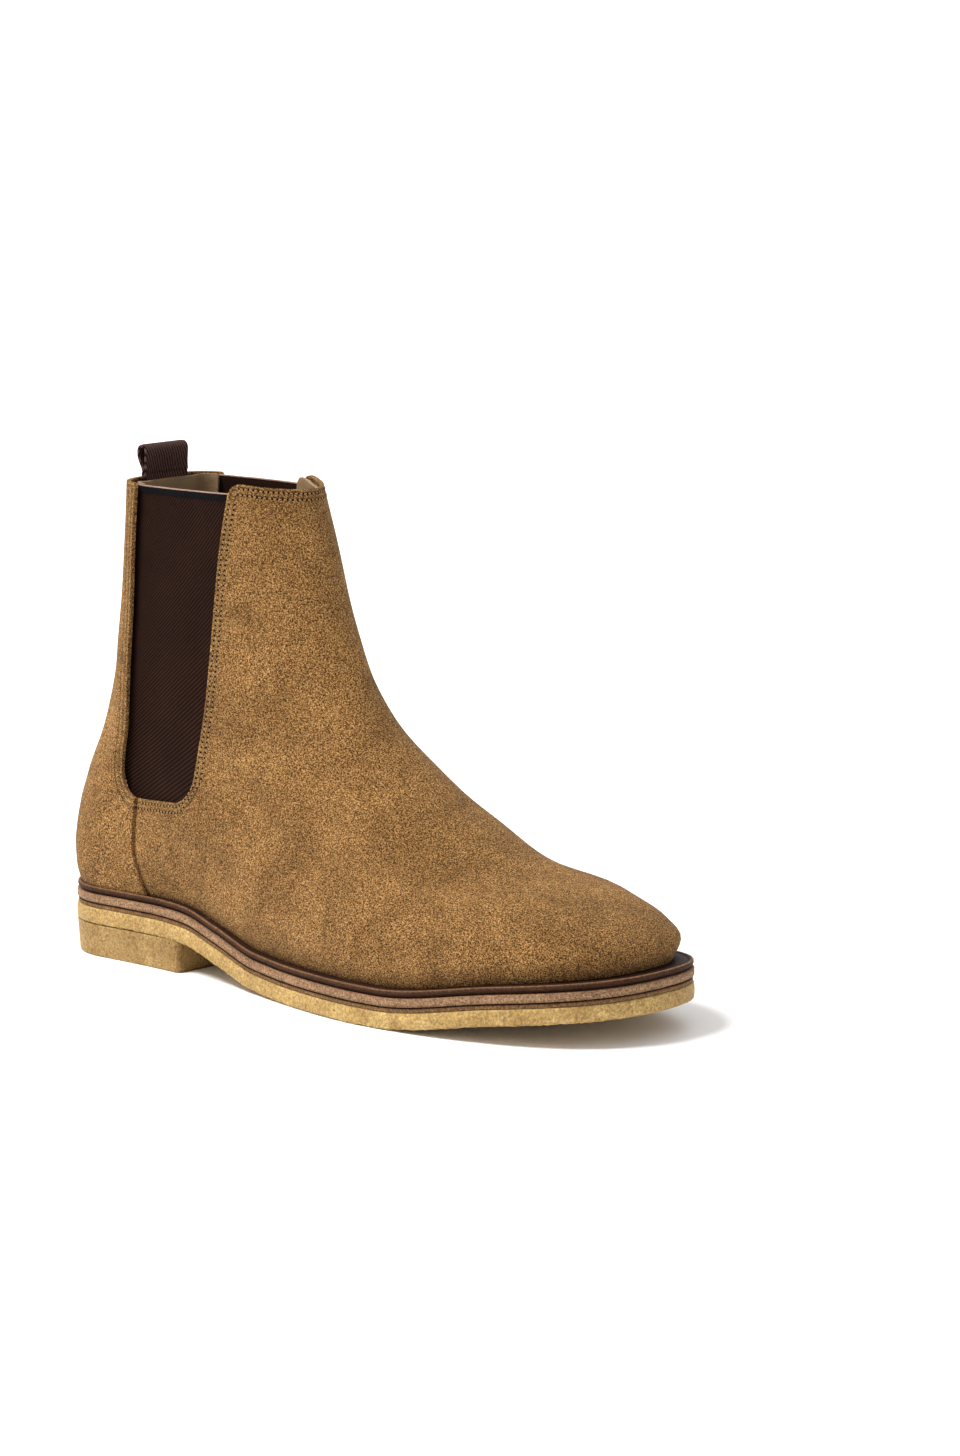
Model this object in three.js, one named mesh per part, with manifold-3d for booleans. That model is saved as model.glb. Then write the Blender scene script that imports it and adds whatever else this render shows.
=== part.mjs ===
import * as THREE from "three";
import { mergeVertices } from "three/addons/utils/BufferGeometryUtils.js";
import Module from "manifold-3d";

// A chelsea boot for the right foot, in millimetres: +X to the toe, +Y to the wearer's left
// (the inner side of the foot), +Z up. It stands on z = 0, and the origin is the middle of
// its footprint. While it is drawn, x is counted from the back of the heel.

// Sole outline, as half widths out to the lateral and in to the medial side
const soleLength = 305;
const ballAt = 199.5;
const ballLateral = 60;
const ballMedial = 51.5;
const waistLateral = 43.5;
const waistMedial = 33;
const heelHalfWidth = 36;
const heelRounding = 30.5;
const heelFullness = 2.15;
const toeFullness = 2.53;
const toeSwing = 5.2;

// Sole stack, from the ground up
const heelHeight = 13.8;
const heelLength = 78;
const heelTaper = 1;
const toeSpring = 11.7;
const treadFrom = 158;
const treadTo = 205;
const outsoleThickness = 7;
const slipSoleThickness = 1.6;
const midsoleThickness = 3.6;
const weltThickness = 2.8;
const cement = 0.35;
const ply = 0.45;
const seatGap = 0.6;

// Upper
const shaftHeight = 171.5;
const leather = 1.8;
const lining = 1.2;
const featherInset = 3;
const lastingMargin = 10;
const counterThickness = 1.5;
const puffThickness = 1;
const shaftTopWidth = 52;

// Elastic gores
const elastic = 1.2;
const goreBottom = 39.5;
const goreCorner = 11;
const goreDrop = 1.6;
const goreLap = 7;

// Insole, filler, shank and heel nails
const insoleThickness = 2.5;
const sockThickness = 1.4;
const shankLength = 96;
const shankWidth = 13;
const shankThickness = 1.3;
const nailRadius = 0.9;
const nailHeadRadius = 1.9;
const nailHead = 0.8;
const nailDepth = 7;
const nailClearance = 0.3;

// Pull loop
const tapeWidth = 25;
const tapeThickness = 1.3;
const tailLength = 16;
const tailAboveRim = 1;
const loopHeight = 11.5;
const loopDepth = 9.4;

// The back of the shaft leans open about this height above the seat
const flexHeight = 58;

// Steps round an outline: in eights, so that the toe and both sides get a point, and finer on a longer sole
const angleSteps = 8 * Math.ceil(soleLength / 51);
const farOut = 400;

const welded = outsoleThickness + slipSoleThickness + midsoleThickness + weltThickness;
const stackHeight = welded + 3 * cement;
const seatHeight = heelHeight + stackHeight;
const marginTop = seatGap + leather + ply + lining;
const insoleBase = marginTop + cement;
const tailThickness = 2 * tapeThickness;

const wasm = await Module();
wasm.setup();

// Smooth value at x through [x, value] points: never past the points' own values, level beyond the ends
function through(points, x) {
  const last = points.length - 1;
  if (x <= points[0][0]) return points[0][1];
  if (x >= points[last][0]) return points[last][1];
  const rise = (k) => (points[k + 1][1] - points[k][1]) / (points[k + 1][0] - points[k][0]);
  const slope = (k) => {
    if (k === 0) return rise(0);
    if (k === last) return rise(last - 1);
    const before = rise(k - 1);
    const after = rise(k);
    return before * after <= 0 ? 0 : (2 * before * after) / (before + after);
  };
  let i = 0;
  while (x > points[i + 1][0]) i += 1;
  const h = points[i + 1][0] - points[i][0];
  const t = (x - points[i][0]) / h;
  const ends = (2 * t ** 3 - 3 * t ** 2 + 1) * points[i][1] + (3 * t ** 2 - 2 * t ** 3) * points[i + 1][1];
  return ends + (t ** 3 - 2 * t ** 2 + t) * h * slope(i) + (t ** 3 - t ** 2) * h * slope(i + 1);
}

// 0 at from, 1 at to, smooth between, whichever of the two is larger
function ramp(from, to, x) {
  const t = THREE.MathUtils.clamp((x - from) / (to - from), 0, 1);
  return t * t * (3 - 2 * t);
}

// Height of the outsole's underside: level under the heel, down through the arch, a flat tread, toe spring
const undersideProfile = [
  [0, heelHeight],
  [62, heelHeight],
  [heelLength + 2, heelHeight - 0.9],
  [101, 0.57 * heelHeight],
  [130, 0.08 * heelHeight],
  [treadFrom, 0],
  [treadTo, 0],
  [260, 0.62 * toeSpring],
  [soleLength, toeSpring],
];
const underside = (x) => through(undersideProfile, x);
const seat = (x) => underside(x) + stackHeight;

// A foot-shaped outline. angle 0 is the back of the heel, a quarter turn the lateral side, a half the toe.
function outline(section, angle) {
  const { back, front, heel, ballOut, ballIn, waistOut, waistIn, widest, rounding } = section;
  const lateral = Math.sin(angle) >= 0;
  const ball = lateral ? ballOut : ballIn;
  const waist = lateral ? waistOut : waistIn;
  const x = (back + front) / 2 - ((front - back) / 2) * Math.cos(angle);
  const heelEnd = back + Math.min(rounding, widest - back - 3);
  const along = THREE.MathUtils.clamp((x - heelEnd) / (widest - heelEnd), 0, 1);
  const dip = (waist - (heel + ball) / 2) * 16 * (along * (1 - along)) ** 2;
  const width = heel + (ball - heel) * ramp(0, 1, along) + dip;
  const toHeelEnd = THREE.MathUtils.clamp(1 - (x - back) / (heelEnd - back), 0, 1);
  const toToe = THREE.MathUtils.clamp((x - widest) / (front - widest), 0, 1);
  const closing = (1 - toHeelEnd ** section.heelFullness) ** (1 / section.heelFullness);
  const closingToe = (1 - toToe ** section.fullness) ** (1 / section.fullness);
  const swing = toeSwing * THREE.MathUtils.clamp(x / soleLength, 0, 1) ** 2;
  return { x, y: (lateral ? -1 : 1) * width * closing * closingToe + swing };
}

const inset = (section, by) => ({
  ...section,
  back: section.back + by,
  front: section.front - by,
  heel: section.heel - by,
  waistOut: section.waistOut - by,
  waistIn: section.waistIn - by,
  ballOut: section.ballOut - by,
  ballIn: section.ballIn - by,
  rounding: section.rounding - by,
});

const soleSection = {
  back: 0,
  front: soleLength,
  heel: heelHalfWidth,
  waistOut: waistLateral,
  waistIn: waistMedial,
  ballOut: ballLateral,
  ballIn: ballMedial,
  widest: ballAt,
  rounding: heelRounding,
  heelFullness,
  fullness: toeFullness,
};

// The shape of the foot and shaft in level sections, from the feather line to just above the rim.
// height is above the seat, and follow is how far the level follows the dip and spring of the sole.
// The foot's sections stand in from the sole's edge by the amounts taken off its own sizes.
const shaftTop = shaftHeight + 5;
const shaftHalf = shaftTopWidth / 2;
const ankleHeight = 90;
function lastSection(height, follow, ends, heelEnd, waists, balls, toe) {
  const [back, front] = ends;
  const [heel, rounding, fullnessBack] = heelEnd;
  const widest = back + (front - back) * toe[1];
  return {
    height,
    follow,
    back,
    front,
    heel,
    rounding,
    heelFullness: fullnessBack,
    waistOut: waists[0],
    waistIn: waists[1],
    ballOut: balls[0],
    ballIn: balls[1],
    fullness: toe[0],
    widest,
  };
}
const sole = soleSection;
const last = [
  lastSection(
    0, 1, [featherInset - 0.5, soleLength - 9], [sole.heel - 3.5, 30, 2.15],
    [sole.waistOut - 4.5, sole.waistIn - 4.5], [sole.ballOut - 6, sole.ballIn - 6], [2.53, 0.665],
  ),
  lastSection(
    8, 0.9, [1.2, soleLength - 6], [sole.heel - 1.5, 30, 2.15],
    [sole.waistOut - 1, sole.waistIn - 1], [sole.ballOut - 3, sole.ballIn - 3], [2.53, 0.66],
  ),
  lastSection(
    16, 0.75, [0.4, soleLength - 11.5], [sole.heel - 1.5, 30.5, 2.15],
    [sole.waistOut, sole.waistIn], [sole.ballOut - 5, sole.ballIn - 4.5], [2.35, 0.65],
  ),
  lastSection(
    24, 0.55, [0.3, soleLength - 27], [sole.heel - 2.5, 32, 2.15],
    [sole.waistOut - 1.5, sole.waistIn - 1], [sole.ballOut - 10.5, sole.ballIn - 8.5], [2.3, 0.63],
  ),
  lastSection(
    33, 0.35, [1.2, soleLength - 62.5], [sole.heel - 4, 33, 2.15],
    [sole.waistOut - 3.5, sole.waistIn - 1.5], [42, 39], [2.2, 0.6],
  ),
  lastSection(46, 0.12, [5, 212.5], [30.3, 33, 2.15], [36.5, 31], [36.5, 34.5], [2.1, 0.56]),
  lastSection(65.5, 0, [14.3, 178], [29.8, 32, 2.2], [32.2, 30.7], [31.7, 30.5], [2, 0.52]),
  lastSection(ankleHeight, 0, [22.3, 153.5], [29.3, 30, 2.4], [30, 29.5], [29, 28.5], [2, 0.5]),
  lastSection(
    (ankleHeight + shaftTop) / 2 - 6, 0, [28.2, 136.5], [27, 27, 2.7],
    [27.2, 27.2], [26.8, 26.8], [2, 0.5],
  ),
  lastSection(
    shaftTop, 0, [32.6, 120.5], [shaftHalf, 25, 3],
    [shaftHalf + 0.5, shaftHalf + 0.5], [shaftHalf, shaftHalf], [2, 0.5],
  ),
];
const topLevel = last.length - 1;
const columns = Object.keys(last[0]);
const curves = Object.fromEntries(columns.map((key) => [key, last.map((row, i) => [i, row[key]])]));

function sectionAt(level) {
  return Object.fromEntries(columns.map((key) => [key, through(curves[key], level)]));
}

function onLast(angle, level) {
  const section = sectionAt(level);
  const { x, y } = outline(section, angle);
  return new THREE.Vector3(x, y, seatHeight + section.height + section.follow * (seat(x) - seatHeight));
}

// Point under the outer face of the upper, and the depth it lies at
function under(angle, level, depth) {
  const step = 0.02;
  const low = Math.max(level - step, 0);
  const high = Math.min(level + step, topLevel);
  const round = onLast(angle + step, level).sub(onLast(angle - step, level));
  const upward = onLast(angle, high).sub(onLast(angle, low));
  const normal = upward.cross(round).normalize();
  return onLast(angle, level).addScaledVector(normal, depth);
}

const angles = Array.from({ length: angleSteps }, (_, i) => (i * 2 * Math.PI) / angleSteps);
const levels = [0, 0.5, 1, 1.5, 2, 2.5, 3, 3.5, 4, 4.5, 5, 5.5, 6, 7, 8, 8.5, topLevel];

// Angle from the back of the heel, the same on both sides
const fromBack = (angle) => Math.abs(((angle + Math.PI) % (2 * Math.PI)) - Math.PI);
const degrees = (angle) => THREE.MathUtils.radToDeg(fromBack(angle));

// Side edges of the gore, as x against height above the seat, and its bottom, which rises to the front
const goreBackEdge = [
  [goreBottom, 42],
  [goreBottom + 14, 41.5],
  [goreBottom + 32, 43.5],
  [goreBottom + 100, 44.5],
  [shaftTop, 47],
];
const goreFrontEdge = [
  [goreBottom, 86.5],
  [goreBottom + 20, 86],
  [goreBottom + 43, 87.5],
  [goreBottom + 100, 91.5],
  [shaftTop, 96.5],
];

// Where the counter and toe puff lie, in degrees from the back of the heel, and in levels of the last
const counterAngle = 67.5;
const counterTop = 5;
const puffAngle = 127.5;
const puffTop = 4;
const tailAngle = 15;

// How deep the lining lies: it gives way to the counter, the toe puff, the gores and the loop's tail
function liningDepth(angle, level) {
  const point = onLast(angle, level);
  const height = point.z - seatHeight;
  const turn = degrees(angle);
  const counterSide = ramp(counterAngle + 12, counterAngle + 2, turn);
  const atCounter = counterSide * ramp(counterTop + 1.2, counterTop + 0.2, level);
  const atPuff = ramp(puffAngle - 12, puffAngle - 2, turn) * ramp(puffTop + 1.2, puffTop + 0.2, level);
  const goreBack = through(goreBackEdge, height) - goreLap;
  const goreFront = through(goreFrontEdge, height) + goreLap;
  const goreFoot = goreBottom - goreLap;
  const tailFoot = shaftHeight - tailLength;
  const alongGore = ramp(goreBack - 15, goreBack - 5, point.x) * ramp(goreFront + 18, goreFront + 8, point.x);
  const atGore = alongGore * ramp(goreFoot - 12, goreFoot - 2, height);
  const atTail = ramp(tailAngle + 18, tailAngle + 1, turn) * ramp(tailFoot - 20, tailFoot - 6, height);
  const base = leather + ply;
  const stiffeners = (counterThickness + ply) * atCounter + (puffThickness + ply) * atPuff;
  return base + stiffeners + (elastic + ply) * atGore + (tailThickness + ply) * atTail;
}

// A closed mesh from rings of points, each ring closed, the last joined to the first. The second half
// of the rings comes back along the first, so its squares are split the other way to lie parallel.
function closedBand(rings) {
  const count = rings[0].length;
  const positions = rings.flat().flatMap((p) => [p.x, p.y, p.z]);
  const index = [];
  rings.forEach((_, i) => {
    const next = (i + 1) % rings.length;
    for (let k = 0; k < count; k += 1) {
      const [a, b] = [i * count + k, i * count + ((k + 1) % count)];
      const [c, d] = [next * count + k, next * count + ((k + 1) % count)];
      index.push(...(i < rings.length / 2 ? [a, c, b, b, c, d] : [a, c, d, a, d, b]));
    }
  });
  return solidFrom(positions, index);
}

// A closed plate from two grids of points of the same size, outer and inner
function closedPlate(outer, inner) {
  const rows = outer.length;
  const count = outer[0].length;
  const positions = [...outer.flat(), ...inner.flat()].flatMap((p) => [p.x, p.y, p.z]);
  const at = (i, k, side) => side * rows * count + i * count + k;
  const index = [];
  const quad = (a, b, c, d) => index.push(a, b, c, c, b, d);
  for (let i = 0; i < rows - 1; i += 1) {
    for (let k = 0; k < count - 1; k += 1) {
      quad(at(i, k, 0), at(i + 1, k, 0), at(i, k + 1, 0), at(i + 1, k + 1, 0));
      quad(at(i, k, 1), at(i, k + 1, 1), at(i + 1, k, 1), at(i + 1, k + 1, 1));
    }
    quad(at(i, 0, 0), at(i, 0, 1), at(i + 1, 0, 0), at(i + 1, 0, 1));
    quad(at(i, count - 1, 0), at(i + 1, count - 1, 0), at(i, count - 1, 1), at(i + 1, count - 1, 1));
  }
  for (let k = 0; k < count - 1; k += 1) {
    quad(at(0, k, 0), at(0, k + 1, 0), at(0, k, 1), at(0, k + 1, 1));
    quad(at(rows - 1, k, 0), at(rows - 1, k, 1), at(rows - 1, k + 1, 0), at(rows - 1, k + 1, 1));
  }
  return solidFrom(positions, index);
}

function solidFrom(positions, index) {
  const solid = new wasm.Manifold(
    new wasm.Mesh({
      numProp: 3,
      vertProperties: new Float32Array(positions),
      triVerts: new Uint32Array(index),
    }),
  );
  if (solid.volume() > 0) return solid;
  const turned = index.map((_, i) => index[i % 3 === 1 ? i + 1 : i % 3 === 2 ? i - 1 : i]);
  return solidFrom(positions, turned);
}

function solidOf(geometry) {
  const bare = geometry.index ? geometry.toNonIndexed() : geometry.clone();
  bare.deleteAttribute("normal");
  bare.deleteAttribute("uv");
  const merged = mergeVertices(bare, 1e-4);
  const corners = Array.from(merged.index.array);
  const count = corners.length / 3;
  const triangles = Array.from({ length: count }, (_, i) => corners.slice(3 * i, 3 * i + 3));
  const real = triangles.filter((triangle) => new Set(triangle).size === 3); // a pole leaves flat ones
  return solidFrom(Array.from(merged.attributes.position.array), real.flat());
}

// A side view outline (x, z) run straight across the boot, on the lateral, medial or both sides
function acrossBoot(shape, from, to) {
  const across = { depth: to - from, bevelEnabled: false, curveSegments: 5 };
  const geometry = new THREE.ExtrudeGeometry(shape, across);
  geometry.rotateX(Math.PI / 2);
  geometry.translate(0, to, 0);
  return solidOf(geometry);
}

// ---- sole stack

// The outline's points at one height above the outsole's underside
function followingSole(section, height) {
  return angles.map((angle) => {
    const { x, y } = outline(section, angle);
    return new THREE.Vector3(x, y, underside(x) + height);
  });
}

// A slab that follows the sole's profile between two heights above the outsole's underside
const slab = (section, from, to) => stripSolid(followingSole(section, from), followingSole(section, to));

// A closed solid between a lower and an upper outline, each capped by strips straight across
function stripSolid(lower, upper) {
  const count = lower.length;
  const half = count / 2;
  const positions = [...lower, ...upper].flatMap((p) => [p.x, p.y, p.z]);
  const index = [];
  for (let i = 0; i < count; i += 1) {
    const next = (i + 1) % count;
    index.push(i, i + count, next, next, i + count, next + count);
  }
  for (const [side, flip] of [[0, false], [count, true]]) {
    for (let i = 0; i < half; i += 1) {
      const a = side + i;
      const b = side + i + 1;
      const c = side + ((count - i) % count);
      const d = side + count - i - 1;
      if (i > 0) index.push(...(flip ? [a, c, b] : [a, b, c]));
      if (i < half - 1) index.push(...(flip ? [b, c, d] : [b, d, c]));
    }
  }
  return solidFrom(positions, index);
}

const footSection = last[0];
const slipSoleBase = outsoleThickness + cement;
const midsoleBase = slipSoleBase + slipSoleThickness + cement;
const weltBase = midsoleBase + midsoleThickness + cement;

const heelNails = [
  [16, 0],
  [24, -13],
  [24, 13],
  [42, -15],
  [42, 15],
];

function nailHoles(radius, from, to) {
  return heelNails.map(([x, y]) => {
    const hole = new THREE.CylinderGeometry(radius, radius, to - from, 8);
    hole.rotateX(Math.PI / 2);
    hole.translate(x, y, (from + to) / 2);
    return solidOf(hole);
  });
}

const withoutAll = (solid, cutters) => cutters.reduce((rest, cutter) => rest.subtract(cutter), solid);
const nailPoint = heelHeight - nailDepth;
const nailTop = seatHeight + insoleBase + insoleThickness;
const nailWays = nailHoles(nailRadius + nailClearance, nailPoint - 0.5, nailTop + 5);
const nailWay = (solid) => withoutAll(solid, nailWays);

function heelBlock() {
  const foot = angles.map((angle) => {
    const { x, y } = outline(inset(soleSection, heelTaper), angle);
    return new THREE.Vector3(x, y, 0);
  });
  const top = followingSole(soleSection, -cement).map((p) => p.setZ(Math.max(p.z, 1)));
  const behindBreast = new THREE.Shape();
  behindBreast.moveTo(-farOut, -farOut);
  behindBreast.lineTo(heelLength, -farOut);
  behindBreast.lineTo(heelLength, farOut);
  behindBreast.lineTo(-farOut, farOut);
  return nailWay(stripSolid(foot, top).intersect(acrossBoot(behindBreast, -farOut, farOut)));
}

const outsole = () => nailWay(slab(soleSection, 0, outsoleThickness));
const slipSole = () => nailWay(slab(soleSection, slipSoleBase, slipSoleBase + slipSoleThickness));
const midsole = () => nailWay(slab(soleSection, midsoleBase, midsoleBase + midsoleThickness));

function welt() {
  const inside = inset(footSection, lastingMargin - 0.5);
  const top = weltBase + weltThickness;
  return closedBand([
    followingSole(soleSection, weltBase),
    followingSole(soleSection, top),
    followingSole(inside, top),
    followingSole(inside, weltBase),
  ]);
}

// ---- filler, shank, insole, sock

const fillerTop = stackHeight + insoleBase - cement;
const shankFrom = 58;
const shankBase = weltBase + 2.2;

function shankPlate(clearance, top) {
  const halfWidth = shankWidth / 2 + clearance;
  const from = shankFrom - clearance;
  const to = shankFrom + shankLength + clearance;
  const steps = 12;
  const corner = 4;
  const station = (i, side, height) => {
    const x = from + ((to - from) * i) / steps;
    const nearEnd = Math.min(x - from, to - x);
    const y = halfWidth - corner * (1 - Math.min(nearEnd / corner, 1)) ** 2;
    return new THREE.Vector3(x, side * y, underside(x) + height);
  };
  const edge = (side, height) => Array.from({ length: steps + 1 }, (_, i) => station(i, side, height));
  const grid = (height) => [edge(-1, height), edge(1, height)];
  return closedPlate(grid(shankBase - clearance), grid(top));
}

const shank = () => shankPlate(0, shankBase + shankThickness);
const corkFiller = () => {
  const section = inset(footSection, lastingMargin + 0.5);
  return nailWay(slab(section, weltBase, fillerTop)).subtract(shankPlate(cement, fillerTop + 5));
};
const insoleSection = inset(footSection, leather + lining + counterThickness + 3 * ply + 1);
function insole() {
  const base = stackHeight + insoleBase;
  const board = slab(insoleSection, base, base + insoleThickness);
  return withoutAll(board, nailHoles(nailHeadRadius + nailClearance, seatHeight, nailTop + 5));
}
function sockLiner() {
  const base = stackHeight + insoleBase + insoleThickness + cement;
  return slab(insoleSection, base, base + sockThickness);
}

function heelNail([x, y]) {
  const profile = [
    [0, nailPoint],
    [nailRadius, nailPoint + 2],
    [nailRadius, nailTop - nailHead],
    [nailHeadRadius, nailTop - nailHead],
    [nailHeadRadius, nailTop],
    [0, nailTop],
  ].map(([r, z]) => new THREE.Vector2(r, z));
  const nail = new THREE.LatheGeometry(profile, 8);
  nail.rotateX(Math.PI / 2);
  nail.translate(x, y, 0);
  return solidOf(nail);
}

// ---- upper

// A shell under the outer face, between two depths, turned in along the bottom as the lasting margin
function shell(outerDepth, innerDepth, marginBase, thickness) {
  const flange = (reach, height) =>
    angles.map((angle) => {
      const by = typeof reach === "function" ? reach(angle) : reach;
      const { x, y } = outline(inset(footSection, by), angle);
      return new THREE.Vector3(x, y, seat(x) + height);
    });
  const face = (depth, level) => angles.map((angle) => under(angle, level, depth(angle, level)));
  const upward = levels.slice(1);
  const rings = [
    flange(lastingMargin, marginBase),
    flange((angle) => outerDepth(angle, 0), marginBase),
    ...upward.map((level) => face(outerDepth, level)),
    ...upward.toReversed().map((level) => face(innerDepth, level)),
    flange((angle) => innerDepth(angle, 0), marginBase + thickness),
    flange(lastingMargin, marginBase + thickness),
  ];
  return closedBand(rings);
}

// A plate between two depths, over a span of angles and of levels
function patch(angleFrom, angleTo, levelFrom, levelTo, outerDepth, innerDepth) {
  const step = 360 / angleSteps;
  const first = Math.round(angleFrom / step);
  const lastStep = Math.round(angleTo / step);
  const toTurn = (i) => THREE.MathUtils.degToRad((first + i) * step);
  const turns = Array.from({ length: lastStep - first + 1 }, (_, i) => toTurn(i));
  const rows = levels.filter((level) => level >= levelFrom && level <= levelTo);
  const grid = (depth) => rows.map((level) => turns.map((angle) => under(angle, level, depth)));
  return closedPlate(grid(outerDepth), grid(innerDepth));
}

// The gore's opening in side view, larger all round by margin, up to height top
function goreShape(margin, top) {
  const corner = goreCorner + margin;
  const bottom = (x) => seatHeight + goreBottom - margin + (x - 42) * 0.07;
  const steps = 8;
  const lowest = goreBottom + corner - margin;
  const rise = (shaftTop - goreBottom - corner) / steps;
  const heights = Array.from({ length: steps + 1 }, (_, i) => lowest + rise * i);
  const edgeX = (points, side, h) => through(points, h) + side * margin;
  const edgePoint = (points, side, h) => new THREE.Vector2(edgeX(points, side, h), seatHeight + h);
  const edge = (points, side) => heights.map((h) => edgePoint(points, side, h));
  const front = edge(goreFrontEdge, 1);
  const back = edge(goreBackEdge, -1).toReversed();
  const shape = new THREE.Shape();
  shape.moveTo(back[0].x, top);
  back.forEach((p) => shape.lineTo(p.x, p.y));
  const low = back.at(-1);
  shape.quadraticCurveTo(low.x, bottom(low.x), low.x + corner, bottom(low.x + corner));
  const far = front[0].x - corner;
  shape.lineTo(far, bottom(far));
  shape.quadraticCurveTo(front[0].x, bottom(front[0].x), front[0].x, front[0].y);
  front.slice(1).forEach((p) => shape.lineTo(p.x, p.y));
  shape.lineTo(front.at(-1).x, top);
  return shape;
}

const openTop = seatHeight + shaftTop + 30;
const goreOpening = acrossBoot(goreShape(0, openTop), -farOut, farOut);

// Seam between the heel quarter and the front panel, below the gores, as [height above the ground, x]
const seam = [
  [10, 60],
  [36, 55.5],
  [45, 52],
  [54, 50.3],
  [seatHeight + goreBottom + 2, 50.3],
];
const seamX = (z) => through(seam, z);
const seamHeights = [-5, 20, 28, 36, 45, 54, seatHeight + goreBottom + 5];
const middleOfGore = 66;
const backRim = seatHeight + shaftHeight;
const frontRim = [
  [90, backRim + 2],
  [100, backRim + 3.2],
  [112, backRim + 2.2],
  [126, backRim + 1],
];

function frontRegion() {
  const shape = new THREE.Shape();
  shape.moveTo(farOut, -5);
  seamHeights.forEach((z) => shape.lineTo(seamX(z) + cement / 2, z));
  shape.lineTo(middleOfGore, seamHeights.at(-1));
  shape.lineTo(middleOfGore, frontRim[0][1]);
  frontRim.forEach(([x, z]) => shape.lineTo(x, z));
  shape.lineTo(farOut, backRim + 1);
  return acrossBoot(shape, -farOut, farOut);
}

const flexZ = seatHeight + flexHeight;
function heelRegion() {
  const shape = new THREE.Shape();
  shape.moveTo(-farOut, -5);
  seamHeights.forEach((z) => shape.lineTo(seamX(z) - cement / 2, z));
  shape.lineTo(middleOfGore, seamHeights.at(-1));
  shape.lineTo(middleOfGore, flexZ - cement / 2);
  shape.lineTo(-farOut, flexZ - cement / 2);
  return acrossBoot(shape, -farOut, farOut);
}

function backRegion() {
  const shape = new THREE.Shape();
  shape.moveTo(-farOut, flexZ + cement / 2);
  shape.lineTo(middleOfGore, flexZ + cement / 2);
  shape.lineTo(middleOfGore, backRim);
  shape.lineTo(-farOut, backRim);
  return acrossBoot(shape, -farOut, farOut);
}

const outerShell = shell(() => 0, () => leather, seatGap, leather).subtract(goreOpening);
const liningInner = (angle, level) => liningDepth(angle, level) + lining;
const innerShell = shell(liningDepth, liningInner, seatGap + leather + ply, lining).subtract(goreOpening);

const layer = leather + ply;
function heelCounter() {
  const whole = patch(-counterAngle, counterAngle, 0.5, counterTop, layer, layer + counterThickness);
  return whole.subtract(acrossBoot(goreShape(goreLap + 1, openTop), -farOut, farOut));
}
const toePuff = () => patch(puffAngle, 360 - puffAngle, 0.5, puffTop, layer, layer + puffThickness);

function gore(side) {
  const [from, to] = side < 0 ? [22.5, 135] : [-135, -22.5];
  const sheet = patch(from, to, 3.5, topLevel, layer, layer + elastic);
  const outlineShape = goreShape(goreLap, backRim - goreDrop);
  return sheet.intersect(acrossBoot(outlineShape, side < 0 ? -farOut : 0, side < 0 ? 0 : farOut));
}

// ---- pull loop, folded from one tape: its ends are sewn in under the lining, and the fold stands free

const tailMiddle = under(0, topLevel, layer + tailThickness / 2);
const pivot = new THREE.Vector3(tailMiddle.x, 0, backRim + tailAboveRim + tailThickness / 2 + cement);

function pullLoopTail() {
  const sheet = patch(-tailAngle, tailAngle, 6, topLevel, layer, layer + tailThickness);
  const box = new THREE.Shape();
  box.moveTo(-farOut, backRim - tailLength);
  box.lineTo(farOut, backRim - tailLength);
  box.lineTo(farOut, backRim + tailAboveRim);
  box.lineTo(-farOut, backRim + tailAboveRim);
  return sheet.intersect(acrossBoot(box, -tapeWidth / 2, tapeWidth / 2));
}

// The fold seen from the side, a teardrop that opens upwards from the pivot. turn runs once round it.
function fold(turn) {
  const inside = loopDepth / 2 - tapeThickness;
  const height = loopHeight - tapeThickness;
  const fullest = 0.65;
  const x = (inside / fullest) * Math.sin(turn) * Math.sin(turn / 2) ** 2;
  return new THREE.Vector2(x, (height * (1 - Math.cos(turn))) / 2);
}

function pullLoop() {
  const steps = 20;
  const turns = Array.from({ length: steps - 1 }, (_, i) => ((i + 1) * 2 * Math.PI) / steps);
  const outside = turns.map((turn) => {
    const way = fold(turn + 0.01).sub(fold(turn - 0.01)).normalize();
    return fold(turn).add(new THREE.Vector2(way.y, -way.x).multiplyScalar(tapeThickness));
  });
  const shape = new THREE.Shape(outside);
  shape.absarc(0, 0, tapeThickness, Math.PI, 2 * Math.PI, false);
  shape.holes.push(new THREE.Path([new THREE.Vector2(0, 0.3), ...turns.map(fold)]));
  const across = { depth: tapeWidth, bevelEnabled: false, curveSegments: 6 };
  const geometry = new THREE.ExtrudeGeometry(shape, across);
  geometry.rotateX(Math.PI / 2);
  geometry.translate(pivot.x, tapeWidth / 2, pivot.z);
  return solidOf(geometry);
}

// ---- materials and assembly

function material(color, roughness, metalness = 0) {
  return new THREE.MeshStandardMaterial({ color, roughness, metalness });
}
const suede = () => material(0xa67c4e, 0.95);
const calfLining = () => material(0xc9ab84, 0.7);
const crepe = () => material(0xc59a55, 0.6);
const webbing = () => material(0x3a2622, 0.8);
const elasticWeave = () => material(0x32211a, 0.85);

const boot = new THREE.Group();
function add(name, solid, finish) {
  const mesh = solid.getMesh();
  const geometry = new THREE.BufferGeometry();
  geometry.setAttribute("position", new THREE.BufferAttribute(new Float32Array(mesh.vertProperties), 3));
  geometry.setIndex(new THREE.BufferAttribute(new Uint32Array(mesh.triVerts), 1));
  geometry.computeVertexNormals();
  const part = new THREE.Mesh(geometry, finish);
  part.name = name;
  boot.add(part);
}

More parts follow.
